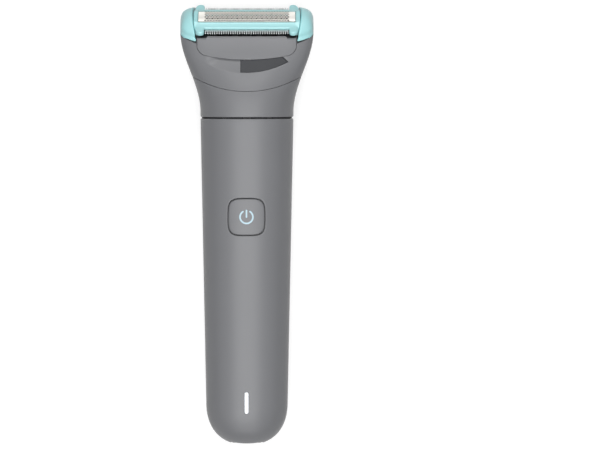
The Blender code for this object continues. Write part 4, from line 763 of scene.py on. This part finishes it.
def headSizes(station, inset=0.0):
    # half width, front depth, rear depth, power, tilt, along and rise of the loop at a station:
    # 0 to 1 is the body up to the pivot plane, 1 to 2 a quarter turn over the crown
    turn = np.clip(station - 1, 0, 1) * math.pi / 2
    station = np.clip(station, 0, 1)
    blend = smoothStep(station)
    along = head["low"] + station * head["length"]
    flare = smoothStep((along - head["low"] - head["flareStart"]) / (head["flareEnd"] - head["flareStart"]))
    wide = mix(handle["halfTop"], head["halfWidth"], flare) - inset - head["crownCorner"] * (1 - np.cos(turn))
    front = mix(handle["frontTop"], head["halfDepth"], blend) - inset
    rear = mix(handle["rear"], head["halfDepth"], station ** head["rearHold"]) - inset
    power = mix(handle["power"], head["power"], station ** head["powerHold"])
    turned = smoothStep((station - head["tiltStart"]) / (1 - head["tiltStart"]))
    tilt = mix(handle["tilt"], head["tilt"], turned)
    lift = (head["crown"] - inset) * np.sin(turn)
    along, rise = along + lift * np.cos(tilt), head["rise"] * blend + lift * np.sin(tilt)
    return wide, front * np.cos(turn), rear * np.cos(turn), power, tilt, along, rise


def headSkin(angle, station, inset=0.0):
    # body loop: superellipse whose plane tilts back as the head rises
    wide, front, rear, power, tilt, along, rise = headSizes(station, inset)
    c, s = superCurve(angle, power)
    through = np.where(s > 0, front, rear) * s
    return np.stack([wide * c, along - through * np.sin(tilt), rise + through * np.cos(tilt)], -1)


def headFront(x, station, inset=0.0):
    # along and through of the front skin over x at a station
    wide, front, rear, power, tilt, along, rise = headSizes(station, inset)
    through = front * crownOf(x, wide, power)
    return along - through * np.sin(tilt), rise + through * np.cos(tilt)


def frontSpots(x, station, inset=0.0):
    # points of the front skin over x at each station
    x = np.broadcast_to(x, np.shape(station))
    return np.stack([x, *headFront(x, station, inset)], -1)


def stationAt(x, y, inset=0.0):
    # station where the front skin over x reaches along y
    x, y = np.broadcast_arrays(np.asarray(x, float), np.asarray(y, float))
    return bisect(lambda s: headFront(x, s, inset)[0] > y, x, 0, 1)


def stationOut(x, level, inset=0.0):
    # station where the front skin over x stands at a level over the pivot plane
    return bisect(lambda s: outOf(*headFront(x, s, inset)) > level, x, 0.3, 1.6)


def arcStation(angle, radius, inset=0.0):
    # station where the skin meets the upright cylinder of the curved seam
    def above(station):
        spot = headSkin(angle, station, inset)
        return spot[..., 1] > arc["middle"] - np.sqrt(np.maximum(radius**2 - spot[..., 0] ** 2, 0))
    return bisect(above, angle, 0, 1)


def headSlab(name, angle, station, drops, stationInner, wall, seam=0.0):
    # closed band of the head's skin: edges dropped, back flat where it rests, lower edge drawn to the seam
    outer = headSkin(angle, station)
    outer = outer - outwardNormals(outer, True) * drops(outer)[..., None]
    outer[..., 2] = np.maximum(outer[..., 2], -place["rest"])
    outer[..., 1] -= seam * np.clip(1 - station * head["length"], 0, 1)
    return thing(slabGrid(name, outer, headSkin(angle, stationInner, wall), True))


def spigot(angle):
    # floor of the neck and the oval tube that the head slides on, with room for the drive and two screws
    c, s = superCurve(angle, handle["power"])
    deep = np.where(s > 0, neck["spigotFront"], neck["spigotRear"])

    def tube(inset, along):
        # oval ring of the tube, drawn in by an inset
        return np.stack([(neck["spigotWidth"] - inset) * c, np.full(len(c), along), (deep - inset) * s], -1)

    low, top = head["low"] + neck["floorLow"], head["low"] + neck["floor"]
    rise, wall = head["low"] + neck["spigotRise"], neck["spigotWall"]
    rings = [headSkin(angle, np.full(len(angle), level / head["length"]), handle["wall"] - neck["join"])
             for level in (neck["floorLow"], neck["floor"])]
    rings += [tube(0, top)]
    rings += [tube(fall, rise - d) for d, fall in roundPairs(neck["spigotEdge"])[::-1]]
    rings += [tube(wall, rise), tube(wall, top)]
    made = thing(ringMesh("spigot", rings))
    under, over, slot = low - 9, top + 1, neck["slotMiddle"]
    cutBy(made, boxTool((-neck["slotAcross"], under, slot - neck["slotDeep"]),
                        (neck["slotAcross"], over, slot + neck["slotDeep"])))
    for side, _ in sides:
        cutBy(made, holeAlong(side * neck["screwAcross"], under, over, neck["screwHole"]))
    return made


def makeNeck():
    # band of the skin from the seam ring up to the curved seam, joined to its floor
    angle = fullTurn(head["columns"])
    top, topInner = arcStation(angle, arc["radius"]), arcStation(angle, arc["radius"], handle["wall"])
    off, drop = roundSteps(neck["edge"])
    offTop, dropTop = roundSteps(arc["edge"], 4)
    low = off[:, None] / head["length"] + 0 * angle
    high = top - offTop[::-1][:, None] / head["length"]
    between = mix(low[-1], high[0], np.linspace(0, 1, neck["rows"])[1:-1, None])
    station = np.concatenate([low, between, high])
    drops = np.concatenate([drop, np.zeros(len(between)), dropTop[::-1]])[:, None]
    ring = headSlab("neck", angle, station, lambda skin: drops, station * topInner / top, handle["wall"],
                    neck["seam"])
    cutBy(ring, spigot(angle + math.pi / head["columns"]), operation="UNION")
    return ring


def gasketMesh():
    # flat ring with a rounded outer edge, in the tilted plane of the seam
    gasket = {"low": 130.6, "high": 131.0, "inset": 0.5, "width": 2.2, "edge": 0.16}
    c, s = superCurve(fullTurn(160), handle["power"])
    pairs = roundPairs(gasket["edge"], 4)
    profile = [(gasket["width"], gasket["low"]), *[(fall, gasket["low"] + d) for d, fall in pairs],
               *[(fall, gasket["high"] - d) for d, fall in pairs[::-1]], (gasket["width"], gasket["high"])]
    rings = []
    for inwards, along in profile:
        inset = gasket["inset"] + inwards
        deep = (np.where(s > 0, handle["frontTop"], handle["rear"]) - inset) * s
        y = along - deep * math.sin(handle["tilt"])
        rings.append(np.stack([(handle["halfTop"] - inset) * c, y, deep * math.cos(handle["tilt"])], -1))
    index = gridIndex(len(rings), len(c))
    return meshOf("gasket", np.concatenate(rings), quadsOf(np.concatenate([index, index[:1]]), True))


addPiece(makeNeck(), "neck_collar", "handle", "neck")
addPiece(gasketMesh(), "seam_ring", "handle", "neck_gasket")
print("neck made")

plate = {"half": 19.85, "low": 22.3, "sag": 2.3, "corner": 3.5, "gapSide": 0.08, "gapLow": 0.07,
         "edge": 0.3, "topEdge": 0.2, "wall": 2.2, "step": 0.3, "lip": 0.55, "lipHalf": 16.4, "lipFade": 0.9,
         "lipInner": 8.9, "lipThin": 0.14, "lipDrop": 0.02, "columns": 151, "rows": 44}
recess = {"half": 17.5, "low": 16.7, "end": 2.8, "slant": 2.3, "depth": 1.1, "fade": 5.0, "spread": 0.6,
          "reach": 19.0, "front": 3.0}
catch = {"left": -2.4, "right": 16.6, "across": 19.0, "deep": 5.2, "low": 0.4, "drop": 0.1, "face": 0.5,
         "thick": 2.6, "edge": 0.2, "gap": 0.07}
cap = {"tip": 20.2, "drop": 4.9, "climb": 0.32, "tilt": math.radians(22), "gap": 0.2, "back": 2.4,
       "dome": 24.5, "edge": 0.3, "thin": 0.12, "rimGap": 0.25, "columns": 132, "rows": 34,
       "reach": (12, 32, 26), "lean": (0, 1.1, 22)}
pivotPin = {"hole": 1.75, "from": 19.4, "to": 24.4}


def plateEdge(x):
    # lower edge of the front plate: a shallow parabola with rounded corners
    share = np.abs(x) / plate["half"]
    corner = np.clip((np.abs(x) - plate["half"] + plate["corner"]) / plate["corner"], 0, 1)
    rise = plate["sag"] * share**2 + plate["corner"] * (1 - np.sqrt(1 - corner**2))
    return head["low"] + plate["low"] + rise


def recessUnder(x):
    # lower edge of the thumb recess: a deeper parabola
    low = head["low"] + recess["low"]
    end = plateEdge(recess["half"]) - recess["end"]
    return mix(low, end, (x / recess["half"]) ** 2)


def scoopDrop(x, y, z):
    # depth of the recess: nothing at its lower edge, full at the plate's edge, fading at its ends
    run = np.maximum(plateEdge(np.clip(x, -recess["reach"], recess["reach"])) - recessUnder(x), 0.5)
    share = np.clip((y - recessUnder(x)) / run, 0, 1)
    limit = recess["half"] + recess["spread"] - recess["slant"] * share
    ends = smoothStep((limit - np.abs(x)) / recess["fade"])
    return recess["depth"] * share * ends * (z > recess["front"])


def plateOutline():
    # the plate's outline with its gaps, closed well above the head
    x = plate["half"] * np.sin(np.linspace(-math.pi / 2, math.pi / 2, 81))
    half, top = plate["half"] + plate["gapSide"], pivot + head["crown"]
    line = np.column_stack([x * half / plate["half"], plateEdge(x) - plate["gapLow"]])
    return np.concatenate([line, [[half, top], [-half, top]]])


def catchOutline():
    # the catch's outline with its gap: between the recess's lower edge and the plate, its right end slanted
    x = np.linspace(catch["left"] - catch["gap"], catch["right"] + catch["gap"], 61)
    above = np.linspace(x[0], x[-1] - recess["slant"], 61)
    under = np.column_stack([x, recessUnder(x) + catch["low"] - catch["gap"]])
    return np.concatenate([under, np.column_stack([above, plateEdge(above)])[::-1]])


def capFoot(x):
    # along of the cap's lower plane at through 0: it climbs to the side
    return pivot - cap["drop"] + cap["climb"] * (x - cap["tip"])


def capTool(side):
    # block outside the cap's tips and above its lower plane
    far, rings = place["far"], []
    slope, top = math.tan(cap["tilt"]) * far, 5 * far
    for x in (cap["tip"] - cap["gap"], far):
        foot, x = capFoot(x) - cap["gap"], side * x
        rings.append([(x, foot + slope, -far), (x, foot - slope, far), (x, top, far), (x, top, -far)])
    return thing(ringMesh("tool", rings))


def pinTool(side):
    # room for a pivot pin, in the cap and in the cartridge's frame
    return rodTool(side * pivotPin["from"], side * pivotPin["to"], pivotPin["hole"], fromCartridge)


def makeHousing():
    # band of the skin from the curved seam to the pivot plane, scooped, and cut for what sits in it
    angle = fullTurn(head["columns"])
    radius = arc["radius"] - arc["gap"]
    low, lowInner = arcStation(angle, radius), arcStation(angle, radius, head["wall"])
    off, drop = roundSteps(arc["edge"], 4)
    start = low + off[:, None] / head["length"]
    rest = mix(start[-1], 1, np.linspace(0, 1, head["rows"])[1:, None])
    station = np.concatenate([start, rest])
    drops = np.concatenate([drop, np.zeros(len(rest))])[:, None]
    housing = headSlab("housing", angle, station, lambda skin: drops + scoopDrop(*np.moveaxis(skin, -1, 0)),
                       mix(lowInner, 1, (station - low) / (1 - low)), head["wall"])
    far, half = place["far"], head["troughHalf"]
    cutBy(housing, capTool(-1), capTool(1),
          boxTool((-half, -far, head["trough"]), (half, far, far), fromCartridge),
          prismTool(plateOutline(), head["rise"], far), prismTool(catchOutline(), head["rise"], far))
    return housing


def skinNormal(x, station):
    # normal of the front skin by small steps across and along
    step = 0.02
    side = frontSpots(x + step, station) - frontSpots(x - step, station)
    return unit(np.cross(side, frontSpots(x, station + step * 0.05) - frontSpots(x, station - step * 0.05)))


def plateMesh():
    # wall up to the trough's level, then a thin lip in front of the comb and between the ears; rows are
    # spaced by their length along the skin, dense at both edges
    edge, topEdge, wall, trough = plate["edge"], plate["topEdge"], plate["wall"], head["trough"]
    x = edgeColumns(plate["half"], edge, plate["columns"])
    foot = trough + plate["step"]
    top = mix(foot, plate["lip"], smoothStep((plate["lipHalf"] - np.abs(x)) / plate["lipFade"]))
    low, high = stationAt(x, plateEdge(x)), stationOut(x, top)
    fine = mix(low, high, np.linspace(0, 1, 120)[:, None])
    length = lengthDown(frontSpots(x, fine))
    total = length[-1]
    between = mix(edge, total - topEdge, np.linspace(0, 1, plate["rows"])[1:-1, None])
    first, last = roundSteps(edge, 6)[0][:, None], roundSteps(topEdge, 6)[0][::-1, None]
    want = np.concatenate([first + 0 * total, between, total - last])
    station = resample(want, length, fine)
    spot = frontSpots(x, station)
    drop = np.maximum(roundOver(want, edge), roundOver(total - want, topEdge))
    drop = np.maximum(drop, roundOver(np.minimum(x - x[0], x[-1] - x), edge))
    outer = spot - skinNormal(x, station) * drop[..., None]
    share = np.clip((station - low) / (stationOut(x, trough) - low), 0, 1)
    lowIn, highIn = stationAt(x, plateEdge(x), wall), stationOut(x, trough, wall)
    inner = frontSpots(x, mix(lowIn, highIn, share), wall)
    rear, out = rearOf(spot[..., 1], spot[..., 2]), outOf(spot[..., 1], spot[..., 2])
    lip = [spot[..., 0], np.maximum(-plate["lipInner"], rear + plate["lipThin"]), out - plate["lipDrop"]]
    onLip = out > trough + plate["lipDrop"]
    return slabGrid("plate", outer, np.where(onLip[..., None], fromCartridge(np.stack(lip, -1)), inner))


def catchMesh():
    # grid over the pad: u runs to its slanted right end, v from the recess's lower edge up to the plate
    edge = catch["edge"]
    u = (edgeColumns(catch["across"] / 2, edge, 61) / catch["across"] + 0.5)[None, :]
    v = (edgeColumns(catch["deep"] / 2, edge, 24) / catch["deep"] + 0.5)[:, None]
    right = catch["right"] - recess["slant"] * v
    x = mix(catch["left"], right, u)
    low, high = recessUnder(x) + catch["low"], plateEdge(x) - catch["drop"]
    station = stationAt(x, mix(low, high, v), catch["face"])
    spot = frontSpots(x, station, catch["face"])
    inwards = np.minimum(np.minimum(x - catch["left"], right - x), np.minimum(v, 1 - v) * (high - low))
    outer = spot - skinNormal(x, station) * roundOver(inwards, edge)[..., None]
    return slabGrid("catch", outer, spot - [0, 0, catch["thick"]])


def insideHead(points):
    # below 0 inside the head: crown above the pivot plane, body loops below it
    x, y, z = np.moveaxis(points, -1, 0)
    out, deep = outOf(y, z), rearOf(y, z)
    turn = np.arcsin(np.clip(out / head["crown"], 0, 1))
    wide = head["halfWidth"] - head["crownCorner"] * (1 - np.cos(turn))
    half = np.maximum(head["halfDepth"] * np.cos(turn), 1e-3)
    crown = (np.abs(x) / wide) ** head["power"] + (np.abs(deep) / half) ** head["power"] - 1
    crown = np.where(out > head["crown"] * math.sin(head["crownSweep"]), 1.0, crown)

    def past(station):
        # the loop's plane lies beyond the point
        *_, tilt, along, rise = headSizes(station)
        return along - (z - rise) / np.cos(tilt) * np.sin(tilt) > y

    station = bisect(past, x, 0.3, 1, 24)
    wide, front, rear, power, tilt, along, rise = headSizes(station)
    through = (z - rise) / np.cos(tilt)
    depth = np.where(through > 0, front, rear)
    body = (np.abs(x) / wide) ** power + (np.abs(through) / depth) ** power - 1
    return np.where(out > 0, crown, body)


def capMesh(side):
    # rays from the dome's centre: the skin where they leave the head, the dome inside, out to the cap's rim
    azimuth = fullTurn(cap["columns"])
    slope, centre = math.tan(cap["tilt"]), np.array([cap["back"], 0, 0])

    def skinAt(lean):
        # rays at a lean from the axis, their reach to the head's skin, and the points there
        ray = np.stack([np.cos(lean), np.sin(lean) * np.cos(azimuth), np.sin(lean) * np.sin(azimuth)], -1)

        def outside(reach):
            return insideHead(fromCartridge(ray * reach[..., None] - centre)) > 0

        reach = bisect(outside, lean, *cap["reach"])
        return ray, reach, ray * reach[..., None]

    def beyond(lean):
        # the point is below the cap's foot, short of its tip or too near the dome
        _, reach, spot = skinAt(lean)
        x, y, z = np.moveaxis(fromCartridge(spot - centre), -1, 0)
        return (y < capFoot(x) - slope * z) | (x < cap["tip"]) | (reach < cap["dome"] + cap["rimGap"])

    rim = bisect(beyond, azimuth, *cap["lean"])
    fine = rim * np.linspace(0.02, 1, 90)[:, None]
    length = lengthDown(skinAt(fine)[2])
    off, drop = roundSteps(cap["edge"], 6)
    share = np.linspace(0, 1, cap["rows"])[:-1, None]
    want = np.concatenate([(length[-1] - cap["edge"]) * share, length[-1] - off[::-1][:, None]])
    ray, reach, spot = skinAt(resample(want, length, fine))
    drops = np.concatenate([np.zeros(len(share)), drop[::-1]])[:, None, None]
    outer = spot - outwardNormals(spot, True) * drops
    inner = ray * np.minimum(cap["dome"], np.linalg.norm(outer, axis=-1) - cap["thin"])[..., None]
    index = gridIndex(*want.shape)
    tip = np.stack([np.full(len(azimuth), index.size), np.roll(index[0], -1), index[0]], 1)
    poles = [outer[0, :, 0].mean(), 0, 0], [cap["dome"], 0, 0]
    skin, back = (fromCartridge((np.concatenate([grid.reshape(-1, 3), [pole]]) - centre) * [side, 1, 1])
                  for grid, pole in zip((outer, inner), poles))
    made = thing(slabMesh("cap", skin, back, quadsOf(index, True), tip))
    cutBy(made, pinTool(side))
    return made


# the head's shell and apron take the grey with painted shade in the trough
addPiece(makeHousing(), "head_shell", "shaving_head", "head_housing", "head_grey")
addPiece(plateMesh(), "head_apron", "shaving_head", "front_plate", "head_grey")
# the catch is a real part; its dark grey is painted shade where the recess under the plate lies in shade
addPiece(catchMesh(), "catch_pad", "catch", "release_catch")
for side, name in sides:
    addPiece(capMesh(side), "cap_" + name, "shaving_head", "side_cap_" + name)
print("head and caps made")


# Cartridge: frame with its ears, perforated foil and the two comb guards

ball = {"back": 2.4, "radius": 24.1}
bars = {"outline": [(4.8, -2.6), (4.8, 1.4), (5.9, 1.25), (5.9, 2.25), (3.3, 3.493)],
        "radii": [0.4, 0.15, 0.3, 0.45, 0.5], "edge": 0.22, "middle": 2.3, "windowAcross": 19.6,
        "windowDeep": 3.6, "seat": 1.9, "cavity": 18.5, "reach": 9.0, "shrink": (0.06, 0.35, 0.7, 0.92)}
ears = {"inner": 16.9, "outer": 19.9, "reach": 9.0, "corner": 1.3, "low": 0.6, "high": 2.5, "edgeLow": 0.45,
        "edgeHigh": 0.6}
sheet = {"half": 19.3, "plain": 18.2, "radius": 8.702, "top": 4.0, "depth": 3.08, "leg": 0.9, "thick": 0.2,
         "pitch": 1.1, "row": 0.89, "rows": 7, "cells": 31, "hole": (0.48, 0.42)}
comb = {"half": 16.6, "teeth": 37, "root": 6.05, "low": 1.1, "steps": [0, 0.9, 1.5, 2.0, 2.22, 2.35],
        "narrow": [1, 1, 0.95, 0.82, 0.6, 0.25], "high": [1.5, 1.5, 1.5, 1.46, 1.4, 1.3]}


def ballEnd(y, z):
    # half length of the frame: its ends lie on balls round points past the middle
    return np.sqrt(ball["radius"] ** 2 - y * y - z * z) - ball["back"]


def barsMesh():
    # filleted section drawn along x, its rounded ends closed by rings that shrink to the middle
    half = np.array(bars["outline"])
    radii = bars["radii"] + bars["radii"][::-1]
    outline = filletOutline(np.concatenate([half, half[::-1] * [-1, 1]]), radii, 6)
    ahead = np.roll(outline, -1, 0)
    step = ahead - np.roll(outline, 1, 0)
    turned = np.sign(np.sum(outline[:, 0] * ahead[:, 1] - ahead[:, 0] * outline[:, 1]))
    inwards = unit(np.column_stack([-step[:, 1], step[:, 0]])) * turned
    flats = [(outline + inwards * fall, d) for d, fall in roundPairs(bars["edge"], 6)]
    middle = np.array([0, bars["middle"]])
    shrunk = [(mix(middle, flats[0][0], share), 0.0) for share in bars["shrink"]]
    ends = [np.column_stack([ballEnd(*flat.T) - d, flat]) for flat, d in shrunk + flats]
    rings = [end * [-1, 1, 1] for end in ends] + ends[::-1]
    return ringMesh("frame", [fromCartridge(ring) for ring in rings])


def earMesh(side):
    # lobed plate with rounded edges; its outer side is stretched onto the ball
    corner, inner, outer, reach = ears["corner"], ears["inner"], ears["outer"], ears["reach"]
    far, near = outer - corner, inner + corner
    lobes = (far, 1), (near, 1), (near, -1), (far, -1)
    straight = np.linspace(corner - reach, reach - corner, 24)[1:-1]

    def outline(inset, level):
        # four corner arcs, drawn in by an inset, and the straight outer side
        small, parts = corner - inset, []
        for k, (x, rear) in enumerate(lobes):
            turn = np.linspace(0, math.pi / 2, 9) + k * math.pi / 2
            y = rear * (reach - corner)
            parts.append(np.column_stack([x + small * np.cos(turn), y + small * np.sin(turn)]))
        parts.append(atLevel(straight, outer - inset)[:, ::-1])
        x, y = np.concatenate(parts).T
        x = inner + (x - inner) * (ballEnd(y, level) - inner) / (outer - inner)
        return fromCartridge(atLevel(np.column_stack([side * x, y]), level))

    rings = [outline(fall, ears["low"] + d) for d, fall in roundPairs(ears["edgeLow"])]
    rings += [outline(fall, ears["high"] - d) for d, fall in roundPairs(ears["edgeHigh"], 7)[::-1]]
    return ringMesh("ear", rings)


def makeFrame():
    # bars and ears in one, cut for the foil's seat, the cutters and the pivot pins
    made = thing(barsMesh())
    cutBy(made, thing(earMesh(-1)), thing(earMesh(1)), operation="UNION")
    deep, reach = bars["windowDeep"], bars["reach"]
    for half, low in ((bars["windowAcross"], bars["seat"]), (bars["cavity"], -reach)):
        cutBy(made, boxTool((-half, -deep, low), (half, deep, reach), fromCartridge))
    cutBy(made, pinTool(-1), pinTool(1))
    return made


def bentFoil(flat, inset):
    # arc length w across the foil bent round its radius: y = r sin(w / r), then straight legs down
    radius, depth = sheet["radius"], sheet["depth"]
    reach = radius * math.asin(depth / radius)
    past = np.abs(flat[:, 1]) - reach
    turn = np.clip(flat[:, 1], -reach, reach) / radius
    y = np.clip((radius - inset) * np.sin(turn), inset - depth, depth - inset)
    z = sheet["top"] - radius + (radius - inset) * np.cos(turn) - np.maximum(past, 0)
    return fromCartridge(np.column_stack([flat[:, 0], y, z]))


def foilMesh():
    # grid of half pitches; in its middle the quads give way to staggered cells with a six-sided hole each
    reach = sheet["radius"] * math.asin(sheet["depth"] / sheet["radius"])
    fine = (np.arange(2 * sheet["cells"] + 1) - sheet["cells"]) * sheet["pitch"] / 2
    lines = (np.arange(sheet["rows"] + 1) - sheet["rows"] / 2) * sheet["row"]
    xs = np.concatenate([[-sheet["half"], -sheet["plain"]], fine, [sheet["plain"], sheet["half"]]])
    ws = np.concatenate([[-reach - sheet["leg"], -reach], lines, [reach, reach + sheet["leg"]]])
    index = gridIndex(len(ws), len(xs))
    points = np.stack(np.meshgrid(xs, ws), -1).reshape(-1, 2)
    keep = np.ones((len(ws) - 1, len(xs) - 1), bool)
    keep[2:-2, 2:-2] = False
    keep[3:-2:2, [2, -3]] = True
    row, at = np.meshgrid(np.arange(sheet["rows"]), np.arange(sheet["cells"]), indexing="ij")
    at = 2 * at + row % 2
    row, at = row[at + 2 < len(fine)] + 2, at[at + 2 < len(fine)] + 2
    border = np.stack([index[row, at], index[row, at + 1], index[row, at + 2],
                       index[row + 1, at + 2], index[row + 1, at + 1], index[row + 1, at]], 1)
    turn = np.radians([210, 270, 330, 30, 90, 150])
    middle = points[border].mean(1)
    holes = middle[:, None, :] + np.stack([np.cos(turn), np.sin(turn)], -1) * sheet["hole"]
    hole = gridIndex(len(holes), 6, len(points))
    cells = np.stack([border, np.roll(border, -1, 1), np.roll(hole, -1, 1), hole], -1).reshape(-1, 4)
    flat = np.concatenate([points, holes.reshape(-1, 2)])
    plain = quadsOf(index)[keep.ravel()]
    return slabMesh("foil", bentFoil(flat, 0.0), bentFoil(flat, sheet["thick"]), plain, cells)


def guardMesh(side):
    # rows from the spine to the tips, a column at each side of a tooth; between teeth only the spine is kept
    x = np.linspace(-comb["half"], comb["half"], 2 * comb["teeth"])
    middle = x.reshape(-1, 2).mean(1).repeat(2)
    narrow, steps, high = (np.array(comb[key])[:, None] for key in ("narrow", "steps", "high"))
    across = mix(middle, x, narrow)
    rear = side * (comb["root"] + steps) + 0 * x
    outer, inner = (np.stack([across, rear, level + 0 * across], -1) for level in (high, comb["low"]))
    keep = np.ones((len(narrow) - 1, len(x) - 1), bool)
    keep[1:, 1::2] = False
    return slabGrid("guard", fromCartridge(outer), fromCartridge(inner), keep=keep)


# the frame takes the teal with painted shade in the trough
addPiece(makeFrame(), "cartridge_frame", "cartridge", "foil_frame", "frame_teal")
addPiece(foilMesh(), "shaving_foil", "cartridge", "foil")
for side, name in ((-1, "front"), (1, "rear")):
    addPiece(guardMesh(side), "comb_guard_" + name, "cartridge", "trimmer_guard_" + name)
print("cartridge made")


# Charging socket and its two pins

inlet = {"halfWidth": 6.0, "halfDepth": 4.4, "corner": 2.2, "face": 1.0, "back": 13.0, "wall": 1.1,
         "floor": 11.2, "edge": 0.35, "pinAcross": 2.3, "pinRadius": 0.75, "pinTip": 6.2, "pinEnd": 14.0,
         "hole": 0.9}


def inletRing(inset, along):
    # rounded rectangle drawn in by an inset, at one place along
    wide, deep = inlet["halfWidth"] - inset, inlet["halfDepth"] - inset
    corners = [(wide, deep), (-wide, deep), (-wide, -deep), (wide, -deep)]
    return atLevel(filletOutline(corners, inlet["corner"] - inset, 10), along)[:, [0, 2, 1]]


def makeInlet():
    # rings up the outside, over the rounded rim and down into the pocket
    face, wall, pairs = inlet["face"], inlet["wall"], roundPairs(inlet["edge"])
    rings = [inletRing(0, inlet["back"])]
    rings += [inletRing(fall, face + d) for d, fall in pairs[::-1]]
    rings += [inletRing(wall - fall, face + d) for d, fall in pairs]
    made = thing(ringMesh("inlet", rings + [inletRing(wall, inlet["floor"])]))
    low, high = inlet["floor"] - 1, inlet["back"] + 1
    for side, _ in sides:
        cutBy(made, holeAlong(side * inlet["pinAcross"], low, high, inlet["hole"]))
    return made


def pinMesh(side):
    # turned pin with a round tip
    angle, radius = fullTurn(40), inlet["pinRadius"]
    turn = np.linspace(0.1, math.pi / 2, 9)
    tip = inlet["pinTip"] + radius * (1 - np.cos(turn))
    profile = [*zip(radius * np.sin(turn), tip), (radius, inlet["pinEnd"])]
    circle = np.stack([np.cos(angle), 0 * angle, np.sin(angle)], -1)
    return ringMesh("pin", [r * circle + [side * inlet["pinAcross"], along, 0] for r, along in profile])


addPiece(makeInlet(), "charge_inlet", "handle", "charge_socket")
for side, name in sides:
    addPiece(pinMesh(side), "inlet_pin_" + name, "handle", "charge_pin_" + name)
print("charging inlet made")


# Camera, light and floor

view = {"across": 0.0212, "along": -0.00047, "distance": 1.5, "level": 0.0142, "frameWidth": 0.24,
        "sensor": 36}
camera = bpy.data.objects.new("camera", bpy.data.cameras.new("camera"))
camera.data.sensor_width = view["sensor"]
camera.data.lens = view["sensor"] * view["distance"] / view["frameWidth"]
camera.location = (view["across"], view["along"], view["level"] + view["distance"])
bpy.context.scene.collection.objects.link(camera)
bpy.context.scene.camera = camera

studio = {"world": 0.03, "floor": 0.4, "bounce": 0.05, "lift": 0.72, "rough": 0.9, "half": 1.6,
          "level": -0.0002}
lamps = {
    "overhead": {"place": (-0.02, -0.18, 0.95), "size": (0.6, 1.1), "watts": 9.4},
    "behind": {"place": (0.05, 0.85, 0.4), "size": (0.75, 0.75), "watts": 1.6},
    "ridge": {"place": (0.03, 0.85, 0.85), "size": (0.35, 0.35), "watts": 3.8},
    "foot": {"place": (0.0, -0.95, 0.6), "size": (0.6, 0.4), "watts": 2.0},
}
for name, lamp in lamps.items():
    made = bpy.data.objects.new(name, bpy.data.lights.new(name, "AREA"))
    made.data.shape = "RECTANGLE"
    made.data.size, made.data.size_y = lamp["size"]
    made.data.energy = lamp["watts"]
    made.location = lamp["place"]
    made.rotation_euler = Vector(lamp["place"]).to_track_quat("Z", "Y").to_euler()
    bpy.context.scene.collection.objects.link(made)

world = bpy.data.worlds.new("studio")
world.use_nodes = True
world.node_tree.nodes["Background"].inputs["Color"].default_value = (1, 1, 1, 1)
world.node_tree.nodes["Background"].inputs["Strength"].default_value = studio["world"]
bpy.context.scene.world = world


def floorFinish():
    # white to the camera with the shadow kept, and dull to the light that bounces off it
    made = bpy.data.materials.new("paleFloor")
    made.use_nodes = True
    tree = made.node_tree
    shader = tree.nodes["Principled BSDF"]
    path = addNode(tree, "LightPath")
    seen = maths(tree, "MAXIMUM", path.outputs["Is Camera Ray"], path.outputs["Is Glossy Ray"])
    seen = maths(tree, "MAXIMUM", seen, path.outputs["Is Transmission Ray"])
    tone = addNode(tree, "Mix", data_type="RGBA")
    tone.inputs[6].default_value = (studio["bounce"],) * 3 + (1,)
    tone.inputs[7].default_value = (studio["floor"],) * 3 + (1,)
    tree.links.new(seen, tone.inputs[0])
    tree.links.new(tone.outputs[2], shader.inputs["Base Color"])
    shader.inputs["Roughness"].default_value = studio["rough"]
    shader.inputs["Specular IOR Level"].default_value = 0.0
    shader.inputs["Emission Color"].default_value = (1, 1, 1, 1)
    tree.links.new(maths(tree, "MULTIPLY", seen, studio["lift"]), shader.inputs["Emission Strength"])
    return made


def floorMesh():
    # one square under the groomer
    half, level = studio["half"], studio["level"]
    corners = [(x * half, y * half, level) for x, y in ((-1, -1), (1, -1), (1, 1), (-1, 1))]
    mesh = bpy.data.meshes.new("floor")
    mesh.from_pydata(corners, [], [(0, 1, 2, 3)])
    mesh.materials.append(floorFinish())
    return mesh


thing(floorMesh())
bpy.context.scene.view_settings.view_transform = "Standard"
print("camera, light and floor set")
